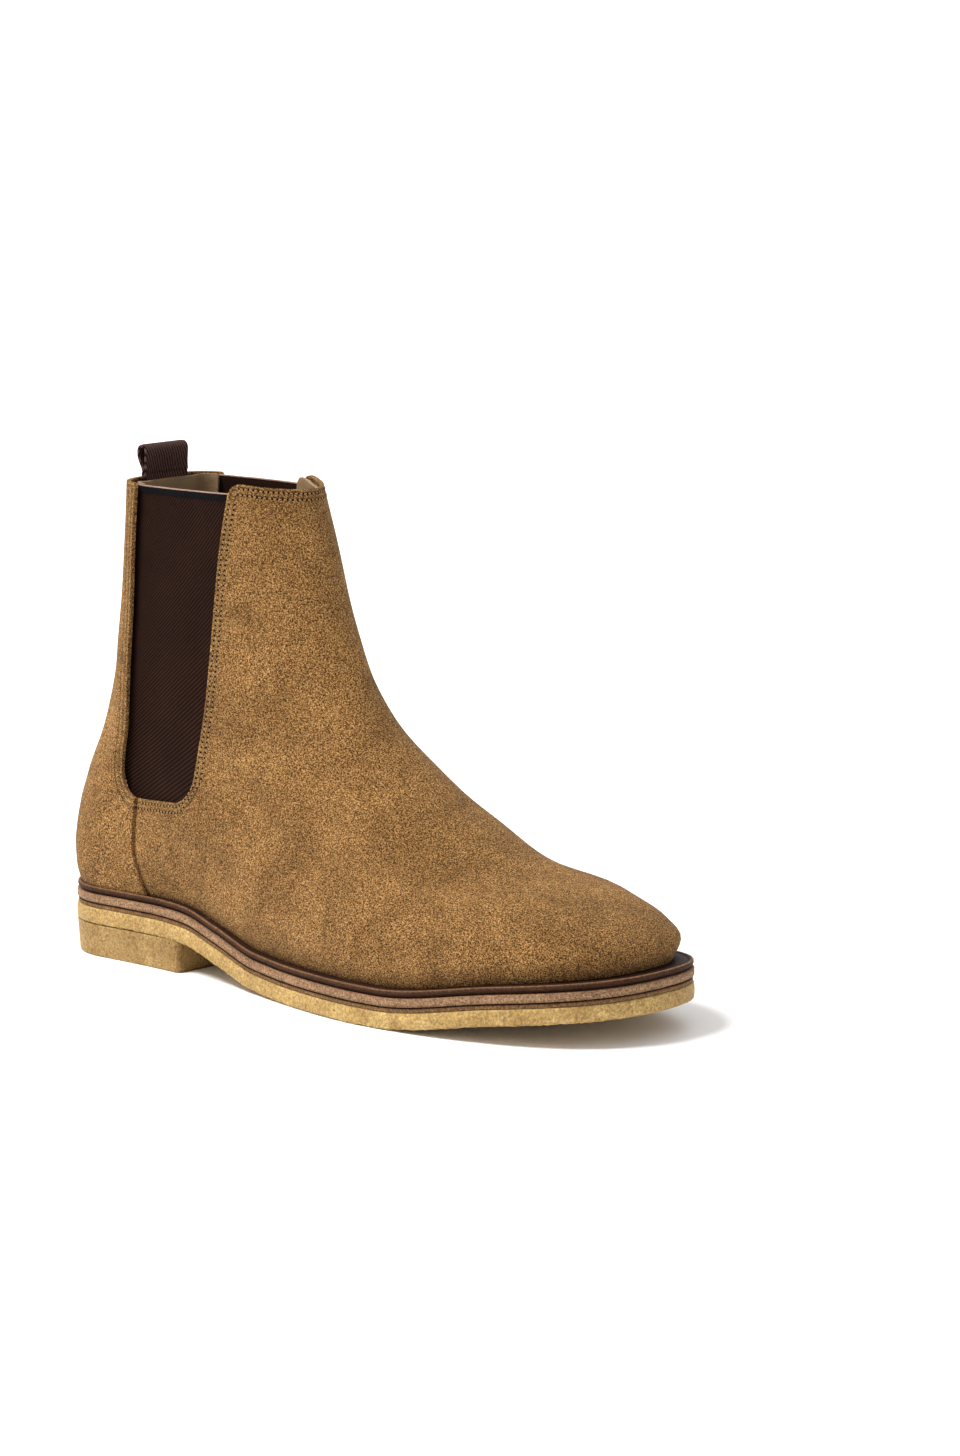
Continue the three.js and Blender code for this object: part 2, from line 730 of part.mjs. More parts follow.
add("heel_block", heelBlock(), crepe());
add("outsole", outsole(), crepe());
add("slip_sole", slipSole(), material(0x6b4a33, 0.7));
add("midsole", midsole(), material(0xb98f6c, 0.65));
add("welt", welt(), material(0x5a3826, 0.55));
add("cork_filler", corkFiller(), material(0x9a7046, 0.95));
add("shank", shank(), material(0x8f9398, 0.35, 1));
add("insole", insole(), material(0xc8a577, 0.8));
add("sock_liner", sockLiner(), calfLining());
add("front_panel", outerShell.intersect(frontRegion()), suede());
add("heel_quarter", outerShell.intersect(heelRegion()), suede());
add("shaft_back", outerShell.intersect(backRegion()), suede());
add("front_lining", innerShell.intersect(frontRegion()), calfLining());
add("heel_lining", innerShell.intersect(heelRegion()), calfLining());
add("shaft_back_lining", innerShell.intersect(backRegion()), calfLining());
add("heel_counter", heelCounter(), material(0x8a6a4a, 0.8));
add("toe_puff", toePuff(), material(0x9c9184, 0.8));
add("gore_lateral", gore(-1), elasticWeave());
add("gore_medial", gore(1), elasticWeave());
add("pull_loop_tail", pullLoopTail(), webbing());
add("pull_loop", pullLoop(), webbing());
heelNails.forEach((place, i) => add(`heel_nail_${i + 1}`, heelNail(place), material(0x8a8478, 0.4, 1)));

const sides = angles.map((angle) => outline(soleSection, angle).y);
const middle = (Math.min(...sides) + Math.max(...sides)) / 2;
boot.position.set(-soleLength / 2, -middle, 0);

export default boot;
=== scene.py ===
import math

import bmesh
import bpy
import numpy as np
from mathutils import Matrix, Vector


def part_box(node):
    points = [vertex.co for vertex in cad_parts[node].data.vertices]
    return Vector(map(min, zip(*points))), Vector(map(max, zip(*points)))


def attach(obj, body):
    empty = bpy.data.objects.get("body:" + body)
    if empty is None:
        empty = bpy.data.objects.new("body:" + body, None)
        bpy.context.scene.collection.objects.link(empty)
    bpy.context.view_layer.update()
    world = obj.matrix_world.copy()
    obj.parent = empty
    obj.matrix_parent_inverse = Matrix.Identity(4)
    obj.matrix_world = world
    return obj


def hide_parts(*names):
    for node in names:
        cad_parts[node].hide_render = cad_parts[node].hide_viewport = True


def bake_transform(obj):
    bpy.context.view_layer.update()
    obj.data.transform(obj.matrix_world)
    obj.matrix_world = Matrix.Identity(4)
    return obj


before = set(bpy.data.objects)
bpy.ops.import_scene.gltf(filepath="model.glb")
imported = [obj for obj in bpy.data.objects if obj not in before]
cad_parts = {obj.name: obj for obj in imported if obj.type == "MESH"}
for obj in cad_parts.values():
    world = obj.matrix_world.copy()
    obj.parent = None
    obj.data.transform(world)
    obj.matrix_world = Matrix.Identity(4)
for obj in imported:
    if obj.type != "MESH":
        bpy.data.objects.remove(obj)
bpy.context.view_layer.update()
print("frame loaded:", len(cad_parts), "nodes")

# The boot's own shape is worked out in millimetres, with x counted from the back of the heel,
# and only turned into the frame's metres when a mesh gets its place.
mm = 0.001
soleLow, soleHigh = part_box("outsole")
soleLength = (soleHigh.x - soleLow.x) / mm


# ---- measuring helpers

def through(points, x):  # smooth curve through [x, value] points, level beyond its ends
    xs, ys = np.array(points, float).T
    rise = np.diff(ys) / np.diff(xs)
    both = rise[:-1] * rise[1:]
    total = np.where(both > 0, rise[:-1] + rise[1:], 1)
    slope = np.concatenate([[rise[0]], np.where(both > 0, 2 * both / total, 0), [rise[-1]]])
    x = np.clip(x, xs[0], xs[-1])
    i = np.clip(np.searchsorted(xs, x, side="right") - 1, 0, len(xs) - 2)
    h = xs[i + 1] - xs[i]
    t = (x - xs[i]) / h
    ends = (2 * t**3 - 3 * t**2 + 1) * ys[i] + (3 * t**2 - 2 * t**3) * ys[i + 1]
    return ends + (t**3 - 2 * t**2 + t) * h * slope[i] + (t**3 - t**2) * h * slope[i + 1]


def ramp(start, end, x):  # 0 at start, 1 at end, smooth between
    t = np.clip((x - start) / (end - start), 0, 1)
    return t * t * (3 - 2 * t)


# ---- the last: the shape of foot and shaft

stack = {
    "outsole": 7.0,
    "slipSole": 1.6,
    "midsole": 3.6,
    "welt": 2.8,
    "cement": 0.35,
}
stackHeight = stack["outsole"] + stack["slipSole"] + stack["midsole"] + stack["welt"] + 3 * stack["cement"]
heelHeight = 13.8
toeSpring = 11.7
seatHeight = heelHeight + stackHeight
shaftHeight = 171.5
shaftTop = shaftHeight + 5
backRim = seatHeight + shaftHeight
toeSwing = 5.2

undersideProfile = [
    [0, heelHeight], [62, heelHeight], [80, heelHeight - 0.9], [101, 0.57 * heelHeight],
    [130, 0.08 * heelHeight], [158, 0], [205, 0], [260, 0.62 * toeSpring], [soleLength, toeSpring],
]


def underside(x):
    return through(undersideProfile, x)


soleShape = {
    "back": 0, "front": soleLength, "heel": 36, "waistOut": 43.5, "waistIn": 33, "ballOut": 60,
    "ballIn": 51.5, "widest": 199.5, "rounding": 30.5, "heelFullness": 2.15, "fullness": 2.53,
}


def inset(shape, by):
    shrinking = ("front", "heel", "waistOut", "waistIn", "ballOut", "ballIn", "rounding")
    smaller = {key: shape[key] - by for key in shrinking}
    return {**shape, **smaller, "back": shape["back"] + by}


def outline(shape, angle):  # angle 0 is the back of the heel, a quarter turn the outer side, a half the toe
    back, front, widest = shape["back"], shape["front"], shape["widest"]
    outer = np.sin(angle) >= 0
    ball = np.where(outer, shape["ballOut"], shape["ballIn"])
    waist = np.where(outer, shape["waistOut"], shape["waistIn"])
    x = (back + front) / 2 - (front - back) / 2 * np.cos(angle)
    heelEnd = back + np.minimum(shape["rounding"], widest - back - 3)
    along = np.clip((x - heelEnd) / (widest - heelEnd), 0, 1)
    dip = (waist - (shape["heel"] + ball) / 2) * 16 * (along * (1 - along)) ** 2
    width = shape["heel"] + (ball - shape["heel"]) * ramp(0, 1, along) + dip
    toHeel = np.clip(1 - (x - back) / (heelEnd - back), 0, 1)
    toToe = np.clip((x - widest) / (front - widest), 0, 1)
    closing = np.maximum(1 - toHeel ** shape["heelFullness"], 0) ** (1 / shape["heelFullness"])
    closing = closing * np.maximum(1 - toToe ** shape["fullness"], 0) ** (1 / shape["fullness"])
    swing = toeSwing * np.clip(x / soleLength, 0, 1) ** 2
    return x, np.where(outer, -1, 1) * width * closing + swing


# One row per level, in the order of lastKeys: height is above the seat, follow is how much of the
# sole's rise and fall the level takes, and widest is a share of the level's length.
lastKeys = ["height", "follow", "back", "front", "heel", "rounding", "heelFullness", "waistOut", "waistIn",
            "ballOut", "ballIn", "fullness", "widest"]
lastRows = [
    [0, 1, 2.5, 296, 32.5, 30, 2.15, 39, 28.5, 54, 45.5, 2.53, 0.665],
    [8, 0.9, 1.2, 299, 34.5, 30, 2.15, 42.5, 32, 57, 48.5, 2.53, 0.66],
    [16, 0.75, 0.4, 293.5, 34.5, 30.5, 2.15, 43.5, 33, 55, 47, 2.35, 0.65],
    [24, 0.55, 0.3, 278, 33.5, 32, 2.15, 42, 32, 49.5, 43, 2.3, 0.63],
    [33, 0.35, 1.2, 242.5, 32, 33, 2.15, 40, 31.5, 42, 39, 2.2, 0.6],
    [46, 0.12, 5, 212.5, 30.3, 33, 2.15, 36.5, 31, 36.5, 34.5, 2.1, 0.56],
    [65.5, 0, 14.3, 178, 29.8, 32, 2.2, 32.2, 30.7, 31.7, 30.5, 2, 0.52],
    [90, 0, 22.3, 153.5, 29.3, 30, 2.4, 30, 29.5, 29, 28.5, 2, 0.5],
    [127.25, 0, 28.2, 136.5, 27, 27, 2.7, 27.2, 27.2, 26.8, 26.8, 2, 0.5],
    [shaftTop, 0, 32.6, 120.5, 26, 25, 3, 26.5, 26.5, 26, 26, 2, 0.5],
]
for row in lastRows:
    back, front = row[2:4]
    row[-1] = back + (front - back) * row[-1]
topLevel = len(lastRows) - 1
lastCurves = {key: [[i, row[k]] for i, row in enumerate(lastRows)] for k, key in enumerate(lastKeys)}
fineLevels = np.linspace(0, topLevel, 1801)
fineHeights = through(lastCurves["height"], fineLevels)


def soleShift(x, level):  # how far a level moves up or down with the sole at x
    return through(lastCurves["follow"], level) * (underside(x) + stackHeight - seatHeight)


def onLast(angle, level):
    shape = {key: through(points, level) for key, points in lastCurves.items()}
    x, y = outline(shape, angle)
    z = seatHeight + shape["height"] + soleShift(x, level)
    return np.stack([x, y, z], axis=-1)


def under(angle, level, depth):  # the point that lies depth under the outer face
    step = 0.01
    around = onLast(angle + step, level) - onLast(angle - step, level)
    upward = onLast(angle, np.minimum(level + step, topLevel)) - onLast(angle, np.maximum(level - step, 0))
    normal = np.cross(upward, around)
    normal /= np.maximum(np.linalg.norm(normal, axis=-1, keepdims=True), 1e-9)
    return onLast(angle, level) + normal * np.asarray(depth)[..., None]


def levelOfHeight(height):
    return np.interp(height, fineHeights, fineLevels)


def levelAt(x, z):  # the level that passes through a point of the side view
    low, high = np.zeros_like(x), np.full_like(x, topLevel)
    for _ in range(26):
        middle = (low + high) / 2
        tooLow = seatHeight + through(lastCurves["height"], middle) + soleShift(x, middle) < z
        low, high = np.where(tooLow, middle, low), np.where(tooLow, high, middle)
    return (low + high) / 2


def angleAt(x, level):  # from 0 to a half turn, on the outer side
    back, front = through(lastCurves["back"], level), through(lastCurves["front"], level)
    return np.arccos(np.clip(((back + front) / 2 - x) / ((front - back) / 2), -1, 1))


wholeTurn = np.linspace(0, 2 * math.pi, 49)[:-1]
soleSides = outline(soleShape, wholeTurn)[1]
middleY = (soleSides.min() + soleSides.max()) / 2


def toFrame(points):
    return (points - np.array([soleLength / 2, middleY, 0])) * mm


# ---- edges of the panels, in the side view

gore = {
    "bottom": 39.5,
    "corner": 11,
    "slope": 0.07,
    "lap": 7,
    "drop": 1.6,
    "backEdge": [[39.5, 42], [53.5, 41.5], [71.5, 43.5], [139.5, 44.5], [shaftTop, 47]],
    "frontEdge": [[39.5, 86.5], [59.5, 86], [82.5, 87.5], [139.5, 91.5], [shaftTop, 96.5]],
}
seamLine = [[10, 60], [36, 55.5], [45, 52], [54, 50.3], [75, 50.3]]  # height above the ground, x
frontRim = [[90, backRim + 2], [100, backRim + 3.2], [112, backRim + 2.2], [126, backRim + 1]]


def roundedMeet(a, b, radius):  # where two edges meet, rounded: below 0 is inside both
    inside = np.minimum(np.maximum(a + radius, b + radius), 0)
    return inside + np.hypot(np.maximum(a + radius, 0), np.maximum(b + radius, 0)) - radius


def fromGore(x, z):  # distance from the edge of the gore's opening, below 0 in the opening
    height = z - seatHeight
    back = through(gore["backEdge"], height) - x
    front = x - through(gore["frontEdge"], height)
    foot = seatHeight + gore["bottom"] + (x - 42) * gore["slope"] - z
    return roundedMeet(np.maximum(back, front), foot, gore["corner"])


def edgeAngle(line, level):  # the angle at which a line of [height above the seat, x] meets a level
    height = through(lastCurves["height"], level)
    x = through(line, height)
    for _ in range(3):
        x = through(line, height + soleShift(x, level))
    return angleAt(x, level)


seamAboveSeat = [[z - seatHeight, x] for z, x in seamLine]


# ---- making meshes

def finishPiece(bm, name, uv=None, smooth=True):
    mesh = bpy.data.meshes.new(name)
    if uv is not None:
        layer = bm.loops.layers.uv.new("UVMap")
        for face in bm.faces:
            for loop in face.loops:
                loop[layer].uv = uv[loop.vert.index]
    for face in bm.faces:
        face.smooth = smooth
    bm.to_mesh(mesh)
    bm.free()
    piece = bpy.data.objects.new(name, mesh)
    bpy.context.scene.collection.objects.link(piece)
    return piece


def gridOf(columns, rows):
    bm = bmesh.new()
    bmesh.ops.create_grid(bm, x_segments=columns, y_segments=rows, size=0.5)
    return bm


def flatPlaces(bm):
    flat = np.array([v.co[:2] for v in bm.verts]) + 0.5
    return flat[:, 0], flat[:, 1]


def setPlaces(bm, points):
    for vert, point in zip(bm.verts, points):
        vert.co = point


def addThickness(piece, thickness, bevel, offset=-1):
    solidify = piece.modifiers.new("thickness", "SOLIDIFY")
    solidify.thickness = thickness * mm
    solidify.offset = offset
    solidify.use_even_offset = True
    rounding = piece.modifiers.new("rounding", "BEVEL")
    rounding.width = bevel * mm
    rounding.segments = 2
    rounding.limit_method = "ANGLE"
    rounding.angle_limit = math.radians(55)
    rounding.use_clamp_overlap = True


def snapToEdge(x, z, beyond):
    step = 0.05
    for _ in range(6):
        gap = beyond(x, z)
        alongX = (beyond(x + step, z) - beyond(x - step, z)) / (2 * step)
        alongZ = (beyond(x, z + step) - beyond(x, z - step)) / (2 * step)
        steepness = np.maximum(alongX**2 + alongZ**2, 0.2)
        x = x - gap * alongX / steepness
        z = z - gap * alongZ / steepness
    return x, z


cutMargin = 0.08  # what lies this near its line, in millimetres, counts as on it
uvTurn = 0.05  # metres of the UV map for each radian round the last


def laidOn(bm, place):
    u, v = flatPlaces(bm)
    angle, level = place(u, v)
    return angle, level, onLast(angle, level)


def cutPanel(name, columns, rows, place, beyond, depth):
    # a panel on the last: place maps the flat grid to it, and what lies beyond its outline is cut away
    bm = gridOf(columns, rows)
    points = laidOn(bm, place)[2]
    gap = beyond(points[:, 0], points[:, 2])
    bm.verts.ensure_lookup_table()
    bm.verts.index_update()
    doomed = [f for f in bm.faces if sum(gap[w.index] for w in f.verts) > cutMargin]
    for vert in bm.verts:
        vert.tag = bool(gap[vert.index] > cutMargin)
    for face in doomed:
        for vert in face.verts:
            vert.tag = True
    bmesh.ops.delete(bm, geom=doomed, context="FACES")
    bm.verts.index_update()
    angle, level, points = laidOn(bm, place)
    onEdge = np.array([vert.tag for vert in bm.verts])
    x, z = snapToEdge(points[onEdge, 0], points[onEdge, 2], beyond)
    snapped = levelAt(x, z)
    turned = np.mod(angle[onEdge] + math.pi, 2 * math.pi) - math.pi
    level = level.copy()
    angle = angle.copy()
    level[onEdge] = snapped
    angle[onEdge] = np.where(turned < 0, -1, 1) * angleAt(x, snapped)
    points = onLast(angle, level)
    placed = under(angle, level, depth(angle, level, points))
    uv = np.stack([angle * uvTurn, points[:, 2] * mm], axis=-1)
    setPlaces(bm, toFrame(placed))
    piece = finishPiece(bm, name, uv)
    ways = piece.data.attributes.new("fromEdge", "FLOAT", "POINT")
    ways.data.foreach_set("value", -beyond(points[:, 0], points[:, 2]).astype(np.float32))
    return piece


# ---- materials

def newMaterial(name, settings):
    material = bpy.data.materials.new(name)
    material.use_nodes = True
    tree = material.node_tree
    shader = tree.nodes["Principled BSDF"]
    for socket, value in settings.items():
        shader.inputs[socket].default_value = value
    return material, tree, shader


def patternPlace(tree, scale=(1, 1, 1), turn=0.0, source="Object"):
    coords = tree.nodes.new("ShaderNodeTexCoord")
    mapping = tree.nodes.new("ShaderNodeMapping")
    mapping.inputs["Scale"].default_value = scale
    mapping.inputs["Rotation"].default_value = (0, 0, turn)
    tree.links.new(coords.outputs[source], mapping.inputs["Vector"])
    return mapping.outputs["Vector"]


def noise(tree, place, scale, detail=4, roughness=0.6, distortion=0):
    node = tree.nodes.new("ShaderNodeTexNoise")
    node.inputs["Scale"].default_value = scale
    node.inputs["Detail"].default_value = detail
    node.inputs["Roughness"].default_value = roughness
    node.inputs["Distortion"].default_value = distortion
    tree.links.new(place, node.inputs["Vector"])
    return node.outputs["Fac"]


def colours(tree, factor, stops):
    node = tree.nodes.new("ShaderNodeValToRGB")
    marks = node.color_ramp.elements
    while len(marks) < len(stops):
        marks.new(0.5)
    for mark, (position, colour) in zip(marks, stops):
        mark.position = position
        mark.color = (*colour, 1)
    tree.links.new(factor, node.inputs["Fac"])
    return node.outputs["Color"]


def mixed(tree, a, b, factor, how="MIX"):
    node = tree.nodes.new("ShaderNodeMix")
    node.data_type = "RGBA"
    node.blend_type = how
    for socket, value in ((node.inputs[0], factor), (node.inputs[6], a), (node.inputs[7], b)):
        if isinstance(value, bpy.types.NodeSocket):
            tree.links.new(value, socket)
        else:
            socket.default_value = (*value, 1) if isinstance(value, tuple) else value
    return node.outputs[2]


def bumps(tree, shader, layers):  # layers of (height, strength, distance), each on top of the one before
    normal = None
    for height, strength, distance in layers:
        node = tree.nodes.new("ShaderNodeBump")
        node.inputs["Strength"].default_value = strength
        node.inputs["Distance"].default_value = distance
        tree.links.new(height, node.inputs["Height"])
        if normal is not None:
            tree.links.new(normal, node.inputs["Normal"])
        normal = node.outputs["Normal"]
    tree.links.new(normal, shader.inputs["Normal"])


def maths(tree, a, how, b):
    node = tree.nodes.new("ShaderNodeMath")
    node.operation = how
    for socket, value in zip(node.inputs, (a, b)):
        if isinstance(value, bpy.types.NodeSocket):
            tree.links.new(value, socket)
        else:
            socket.default_value = value
    return node.outputs[0]


suede = {
    "dark": (0.026, 0.0105, 0.0028),
    "middle": (0.205, 0.099, 0.0280),
    "light": (0.580, 0.330, 0.125),
    "grain": 1750,
    "nap": 800,
    "mottle": 42,
    "grooveWidth": 0.75,
    "grooveShade": 0.5,
    "finish": {"Roughness": 0.95, "Specular IOR Level": 0.12, "Sheen Weight": 0.10, "Sheen Roughness": 0.45,
               "Sheen Tint": (0.95, 0.72, 0.45, 1)},
}
stitchRows = (1.5, 4.0)  # how far the two rows of stitching lie from a panel's edge


def suedeMaterial(name):
    material, tree, shader = newMaterial(name, suede["finish"])
    place = patternPlace(tree)
    grain = noise(tree, place, suede["grain"], 3, 0.75)
    nap = noise(tree, place, suede["nap"], 4, 0.65, 0.4)
    mottle = noise(tree, place, suede["mottle"], 4, 0.55, 0.8)
    body = colours(tree, grain, [(0.40, suede["dark"]), (0.5, suede["middle"]), (0.62, suede["light"])])
    napTone = colours(tree, nap, [(0.3, (0.88, 0.86, 0.84)), (0.72, (1.10, 1.10, 1.10))])
    patchTone = colours(tree, mottle, [(0.32, (0.74, 0.71, 0.67)), (0.68, (1.18, 1.18, 1.18))])
    colour = mixed(tree, mixed(tree, body, napTone, 1.0, "MULTIPLY"), patchTone, 1.0, "MULTIPLY")
    edge = tree.nodes.new("ShaderNodeAttribute")
    edge.attribute_name = "fromEdge"
    grooves = None
    for row in stitchRows:
        away = maths(tree, maths(tree, edge.outputs["Fac"], "SUBTRACT", row), "ABSOLUTE", 0.0)
        groove = maths(tree, 1.0, "SUBTRACT", maths(tree, away, "DIVIDE", suede["grooveWidth"]))
        groove = maths(tree, groove, "MAXIMUM", 0.0)
        grooves = groove if grooves is None else maths(tree, grooves, "ADD", groove)
    shade = maths(tree, 1.0, "SUBTRACT", maths(tree, grooves, "MULTIPLY", suede["grooveShade"]))
    colour = mixed(tree, (0, 0, 0), colour, shade)
    tree.links.new(colour, shader.inputs["Base Color"])
    flat = maths(tree, 1.0, "SUBTRACT", grooves)
    unevenness = [(mottle, 0.5, 0.0022), (nap, 0.8, 0.0008), (grain, 1.0, 0.0006)]
    bumps(tree, shader, [(flat, 0.9, 0.0005)] + unevenness)
    return material


def plainLeather(name, low, high, pores, roughness):
    material, tree, shader = newMaterial(name, {"Roughness": roughness, "Specular IOR Level": 0.3})
    place = patternPlace(tree)
    cloud = noise(tree, place, 55, 5, 0.6, 0.5)
    cell = tree.nodes.new("ShaderNodeTexVoronoi")
    cell.inputs["Scale"].default_value = pores
    tree.links.new(place, cell.inputs["Vector"])
    fine = noise(tree, place, pores * 0.6, 4, 0.6)
    colour = colours(tree, cloud, [(0.3, low), (0.7, high)])
    poreTone = colours(tree, cell.outputs["Distance"], [(0.0, (0.86, 0.84, 0.82)), (0.3, (1, 1, 1))])
    tree.links.new(mixed(tree, colour, poreTone, 1.0, "MULTIPLY"), shader.inputs["Base Color"])
    bumps(tree, shader, [(cloud, 0.3, 0.002), (fine, 0.4, 0.0004), (cell.outputs["Distance"], 0.35, 0.0003)])
    return material


def elasticMaterial(name, low, high, scale=350, turn=28, contrast=0.8):
    material, tree, shader = newMaterial(name, {"Roughness": 0.82, "Specular IOR Level": 0.05})
    ribs = tree.nodes.new("ShaderNodeTexWave")
    ribs.wave_type = "BANDS"
    ribs.bands_direction = "X"
    ribs.inputs["Scale"].default_value = 1
    ribs.inputs["Distortion"].default_value = 0.4
    ribs.inputs["Detail"].default_value = 2
    place = patternPlace(tree, (scale, scale, 1), math.radians(turn), "UV")
    tree.links.new(place, ribs.inputs["Vector"])
    place = patternPlace(tree)
    lint = noise(tree, place, 1400, 4, 0.7)
    cloud = noise(tree, place, 60, 3, 0.5)
    # colour runs from low to high across the wave's bands; on the pull tape the bands lie along its displaced
    # twill ribs, so there the light bands are a painted highlight on the rib crests and the dark ones painted
    # shade between them, while on the gores and edge bands they are the weave's own pattern
    weaveAndPaintedRibLight = mixed(tree, low, high, maths(tree, ribs.outputs["Fac"], "MULTIPLY", contrast))
    tone = colours(tree, lint, [(0.35, (0.7, 0.7, 0.7)), (0.75, (1.5, 1.42, 1.38))])
    patchTone = colours(tree, cloud, [(0.3, (0.85, 0.85, 0.85)), (0.7, (1.15, 1.12, 1.1))])
    colour = mixed(tree, mixed(tree, weaveAndPaintedRibLight, tone, 1.0, "MULTIPLY"), patchTone, 1.0, "MULTIPLY")
    tree.links.new(colour, shader.inputs["Base Color"])
    bumps(tree, shader, [(ribs.outputs["Fac"], 0.5, 0.0003), (lint, 0.5, 0.0002)])
    return material


crepe = {
    "Roughness": 0.62,
    "Specular IOR Level": 0.3,
    "Subsurface Weight": 0.2,
    "Subsurface Radius": (1.0, 0.45, 0.12),
    "Subsurface Scale": 0.004,
}


def crepeMaterial(name, low, middle, high):
    material, tree, shader = newMaterial(name, crepe)
    place = patternPlace(tree)
    cloud = noise(tree, place, 70, 5, 0.6, 0.6)
    crinkle = noise(tree, place, 900, 4, 0.7, 0.3)
    specks = tree.nodes.new("ShaderNodeTexVoronoi")
    specks.inputs["Scale"].default_value = 210
    tree.links.new(place, specks.inputs["Vector"])
    body = colours(tree, cloud, [(0.25, low), (0.55, middle), (0.8, high)])
    tone = colours(tree, crinkle, [(0.36, (0.55, 0.52, 0.46)), (0.66, (1.4, 1.42, 1.45))])
    colour = mixed(tree, body, tone, 1.0, "MULTIPLY")
    holeShadeDots = colours(tree, specks.outputs["Distance"], [(0.06, (1, 1, 1)), (0.12, (0, 0, 0))])
    chance = colours(tree, noise(tree, place, 95, 2, 0.5), [(0.55, (0, 0, 0)), (0.62, (1, 1, 1))])
    speckMask = mixed(tree, holeShadeDots, chance, 1.0, "MULTIPLY")
    colour = mixed(tree, colour, (0.035, 0.015, 0.006), speckMask)
    tree.links.new(colour, shader.inputs["Base Color"])
    pits = specks.outputs["Distance"]
    bumps(tree, shader, [(cloud, 0.4, 0.0015), (crinkle, 0.8, 0.0006), (pits, 0.25, 0.0008)])
    return material


def layeredEdge(name, stops, streak, streakTone, roughness):
    # the cut edge of a leather layer: colour by place on the profile, streaked along the edge
    material, tree, shader = newMaterial(name, {"Roughness": roughness, "Specular IOR Level": 0.1})
    coords = tree.nodes.new("ShaderNodeTexCoord")
    split = tree.nodes.new("ShaderNodeSeparateXYZ")
    tree.links.new(coords.outputs["UV"], split.inputs["Vector"])
    body = colours(tree, split.outputs["Y"], stops)
    place = patternPlace(tree)
    streaks = noise(tree, patternPlace(tree, (1, 1, 9)), 130, 5, 0.7, 0.4)
    grain = noise(tree, place, 1300, 3, 0.7)
    cloud = noise(tree, place, 60, 4, 0.6, 0.6)
    mask = colours(tree, streaks, [(streak, (0, 0, 0)), (streak + 0.14, (1, 1, 1))])
    colour = mixed(tree, body, streakTone, mask)
    grainTone = colours(tree, grain, [(0.38, (0.5, 0.47, 0.44)), (0.64, (1.5, 1.5, 1.5))])
    cloudTone = colours(tree, cloud, [(0.3, (0.84, 0.83, 0.82)), (0.7, (1.12, 1.12, 1.12))])
    colour = mixed(tree, mixed(tree, colour, grainTone, 1.0, "MULTIPLY"), cloudTone, 1.0, "MULTIPLY")
    tree.links.new(colour, shader.inputs["Base Color"])
    bumps(tree, shader, [(streaks, 0.5, 0.0008), (grain, 0.6, 0.0004)])
    return material


def threadMaterial(name, low, high):
    material, tree, shader = newMaterial(name, {"Roughness": 0.9, "Specular IOR Level": 0.03})
    twist = noise(tree, patternPlace(tree), 2600, 2, 0.6)
    tree.links.new(colours(tree, twist, [(0.3, low), (0.7, high)]), shader.inputs["Base Color"])
    bumps(tree, shader, [(twist, 0.6, 0.0002)])
    return material


def boardMaterial(name, low, high, scale, roughness, metal=0.0):
    material, tree, shader = newMaterial(name, {"Roughness": roughness, "Metallic": metal})
    cloud = noise(tree, patternPlace(tree), scale, 5, 0.65)
    fine = noise(tree, patternPlace(tree), scale * 8, 3, 0.6)
    tree.links.new(colours(tree, cloud, [(0.3, low), (0.7, high)]), shader.inputs["Base Color"])
    bumps(tree, shader, [(cloud, 0.4, 0.0006), (fine, 0.4, 0.0002)])
    return material


def wear(piece, material):
    piece.data.materials.clear()
    piece.data.materials.append(material)


# ---- suede upper

upper = {
    "thickness": 1.8,
    "edge": 0.35,
    "seamDip": 0.4,
    "seamReach": 2.6,
    "seamGap": 0.12,
    "frontColumns": 250,
    "backColumns": 150,
    "rows": 92,
    "tabShare": 0.16,
    "rimCorner": 4.5,
    "backCorner": 2.0,
    "rimLevel": 8.9,
    "calmFrom": 0.5,
    "calmTo": 18,
}
creases = {
    "front": ((118, 0.55, 1.0, 8), (100, 0.62, 0.9, 7), (136, 0.4, 0.7, 9)),  # height, slant, depth, width
    "sideX": 31,
    "sideSlant": 0.05,
    "sideDepth": 0.8,
    "sideWidth": 3.2,
}


def softShape(points):  # slow unevenness of soft leather, in millimetres
    x, y, z = points.T
    swell = 0.5 * np.sin(x * 0.047 + z * 0.031 + 0.6) * np.sin(z * 0.058 - y * 0.03)
    swell += 0.26 * np.sin(x * 0.11 - z * 0.083 + y * 0.09 + 1.3)
    swell += 0.10 * np.sin(x * 0.21 + z * 0.17 - y * 0.13)
    settled = ramp(0, 14, z - (underside(x) + stackHeight))
    return (0.25 - swell * (0.25 + 0.75 * ramp(5, 60, x))) * settled


def ankleCreases(points):  # shallow folds low on the front of the shaft and beside the heel
    x, y, z = points.T
    fold = 0.0
    for centre, slant, depth, width in creases["front"]:
        line = z - (centre - slant * (x - 120))
        fold = fold + depth * np.exp(-((line / width) ** 2)) * ramp(104, 124, x) * ramp(176, 140, x)
    line = x - creases["sideX"] - creases["sideSlant"] * (z - 100)
    side = np.exp(-((line / creases["sideWidth"]) ** 2)) * ramp(74, 92, z) * ramp(136, 112, z)
    return fold + creases["sideDepth"] * side * (y < 0)


def worn(points):  # both together, calm beside the gores so that the leather lies flat on the elastic there
    calm = ramp(upper["calmFrom"], upper["calmTo"], fromGore(points[:, 0], points[:, 2]))
    return (softShape(points) + ankleCreases(points)) * calm


def nearSeam(points):  # 1 along the seam below the gore, 0 away from it
    x, z = points[:, 0], points[:, 2]
    side = np.abs(x - through(seamLine, z))
    return ramp(upper["seamReach"], 0.3, side) * ramp(seatHeight + 62, seatHeight + 44, z)


def withTabs(u):  # the grid's columns from side to side, and how far each is into a tab that runs to the seam
    share = upper["tabShare"]
    across = u * (1 + 2 * share) - share
    return across, np.clip(np.maximum(-across, across - 1), 0, share) / share


def shifted(line, by):  # a side-view line, moved forward
    return [[height, x + by] for height, x in line]


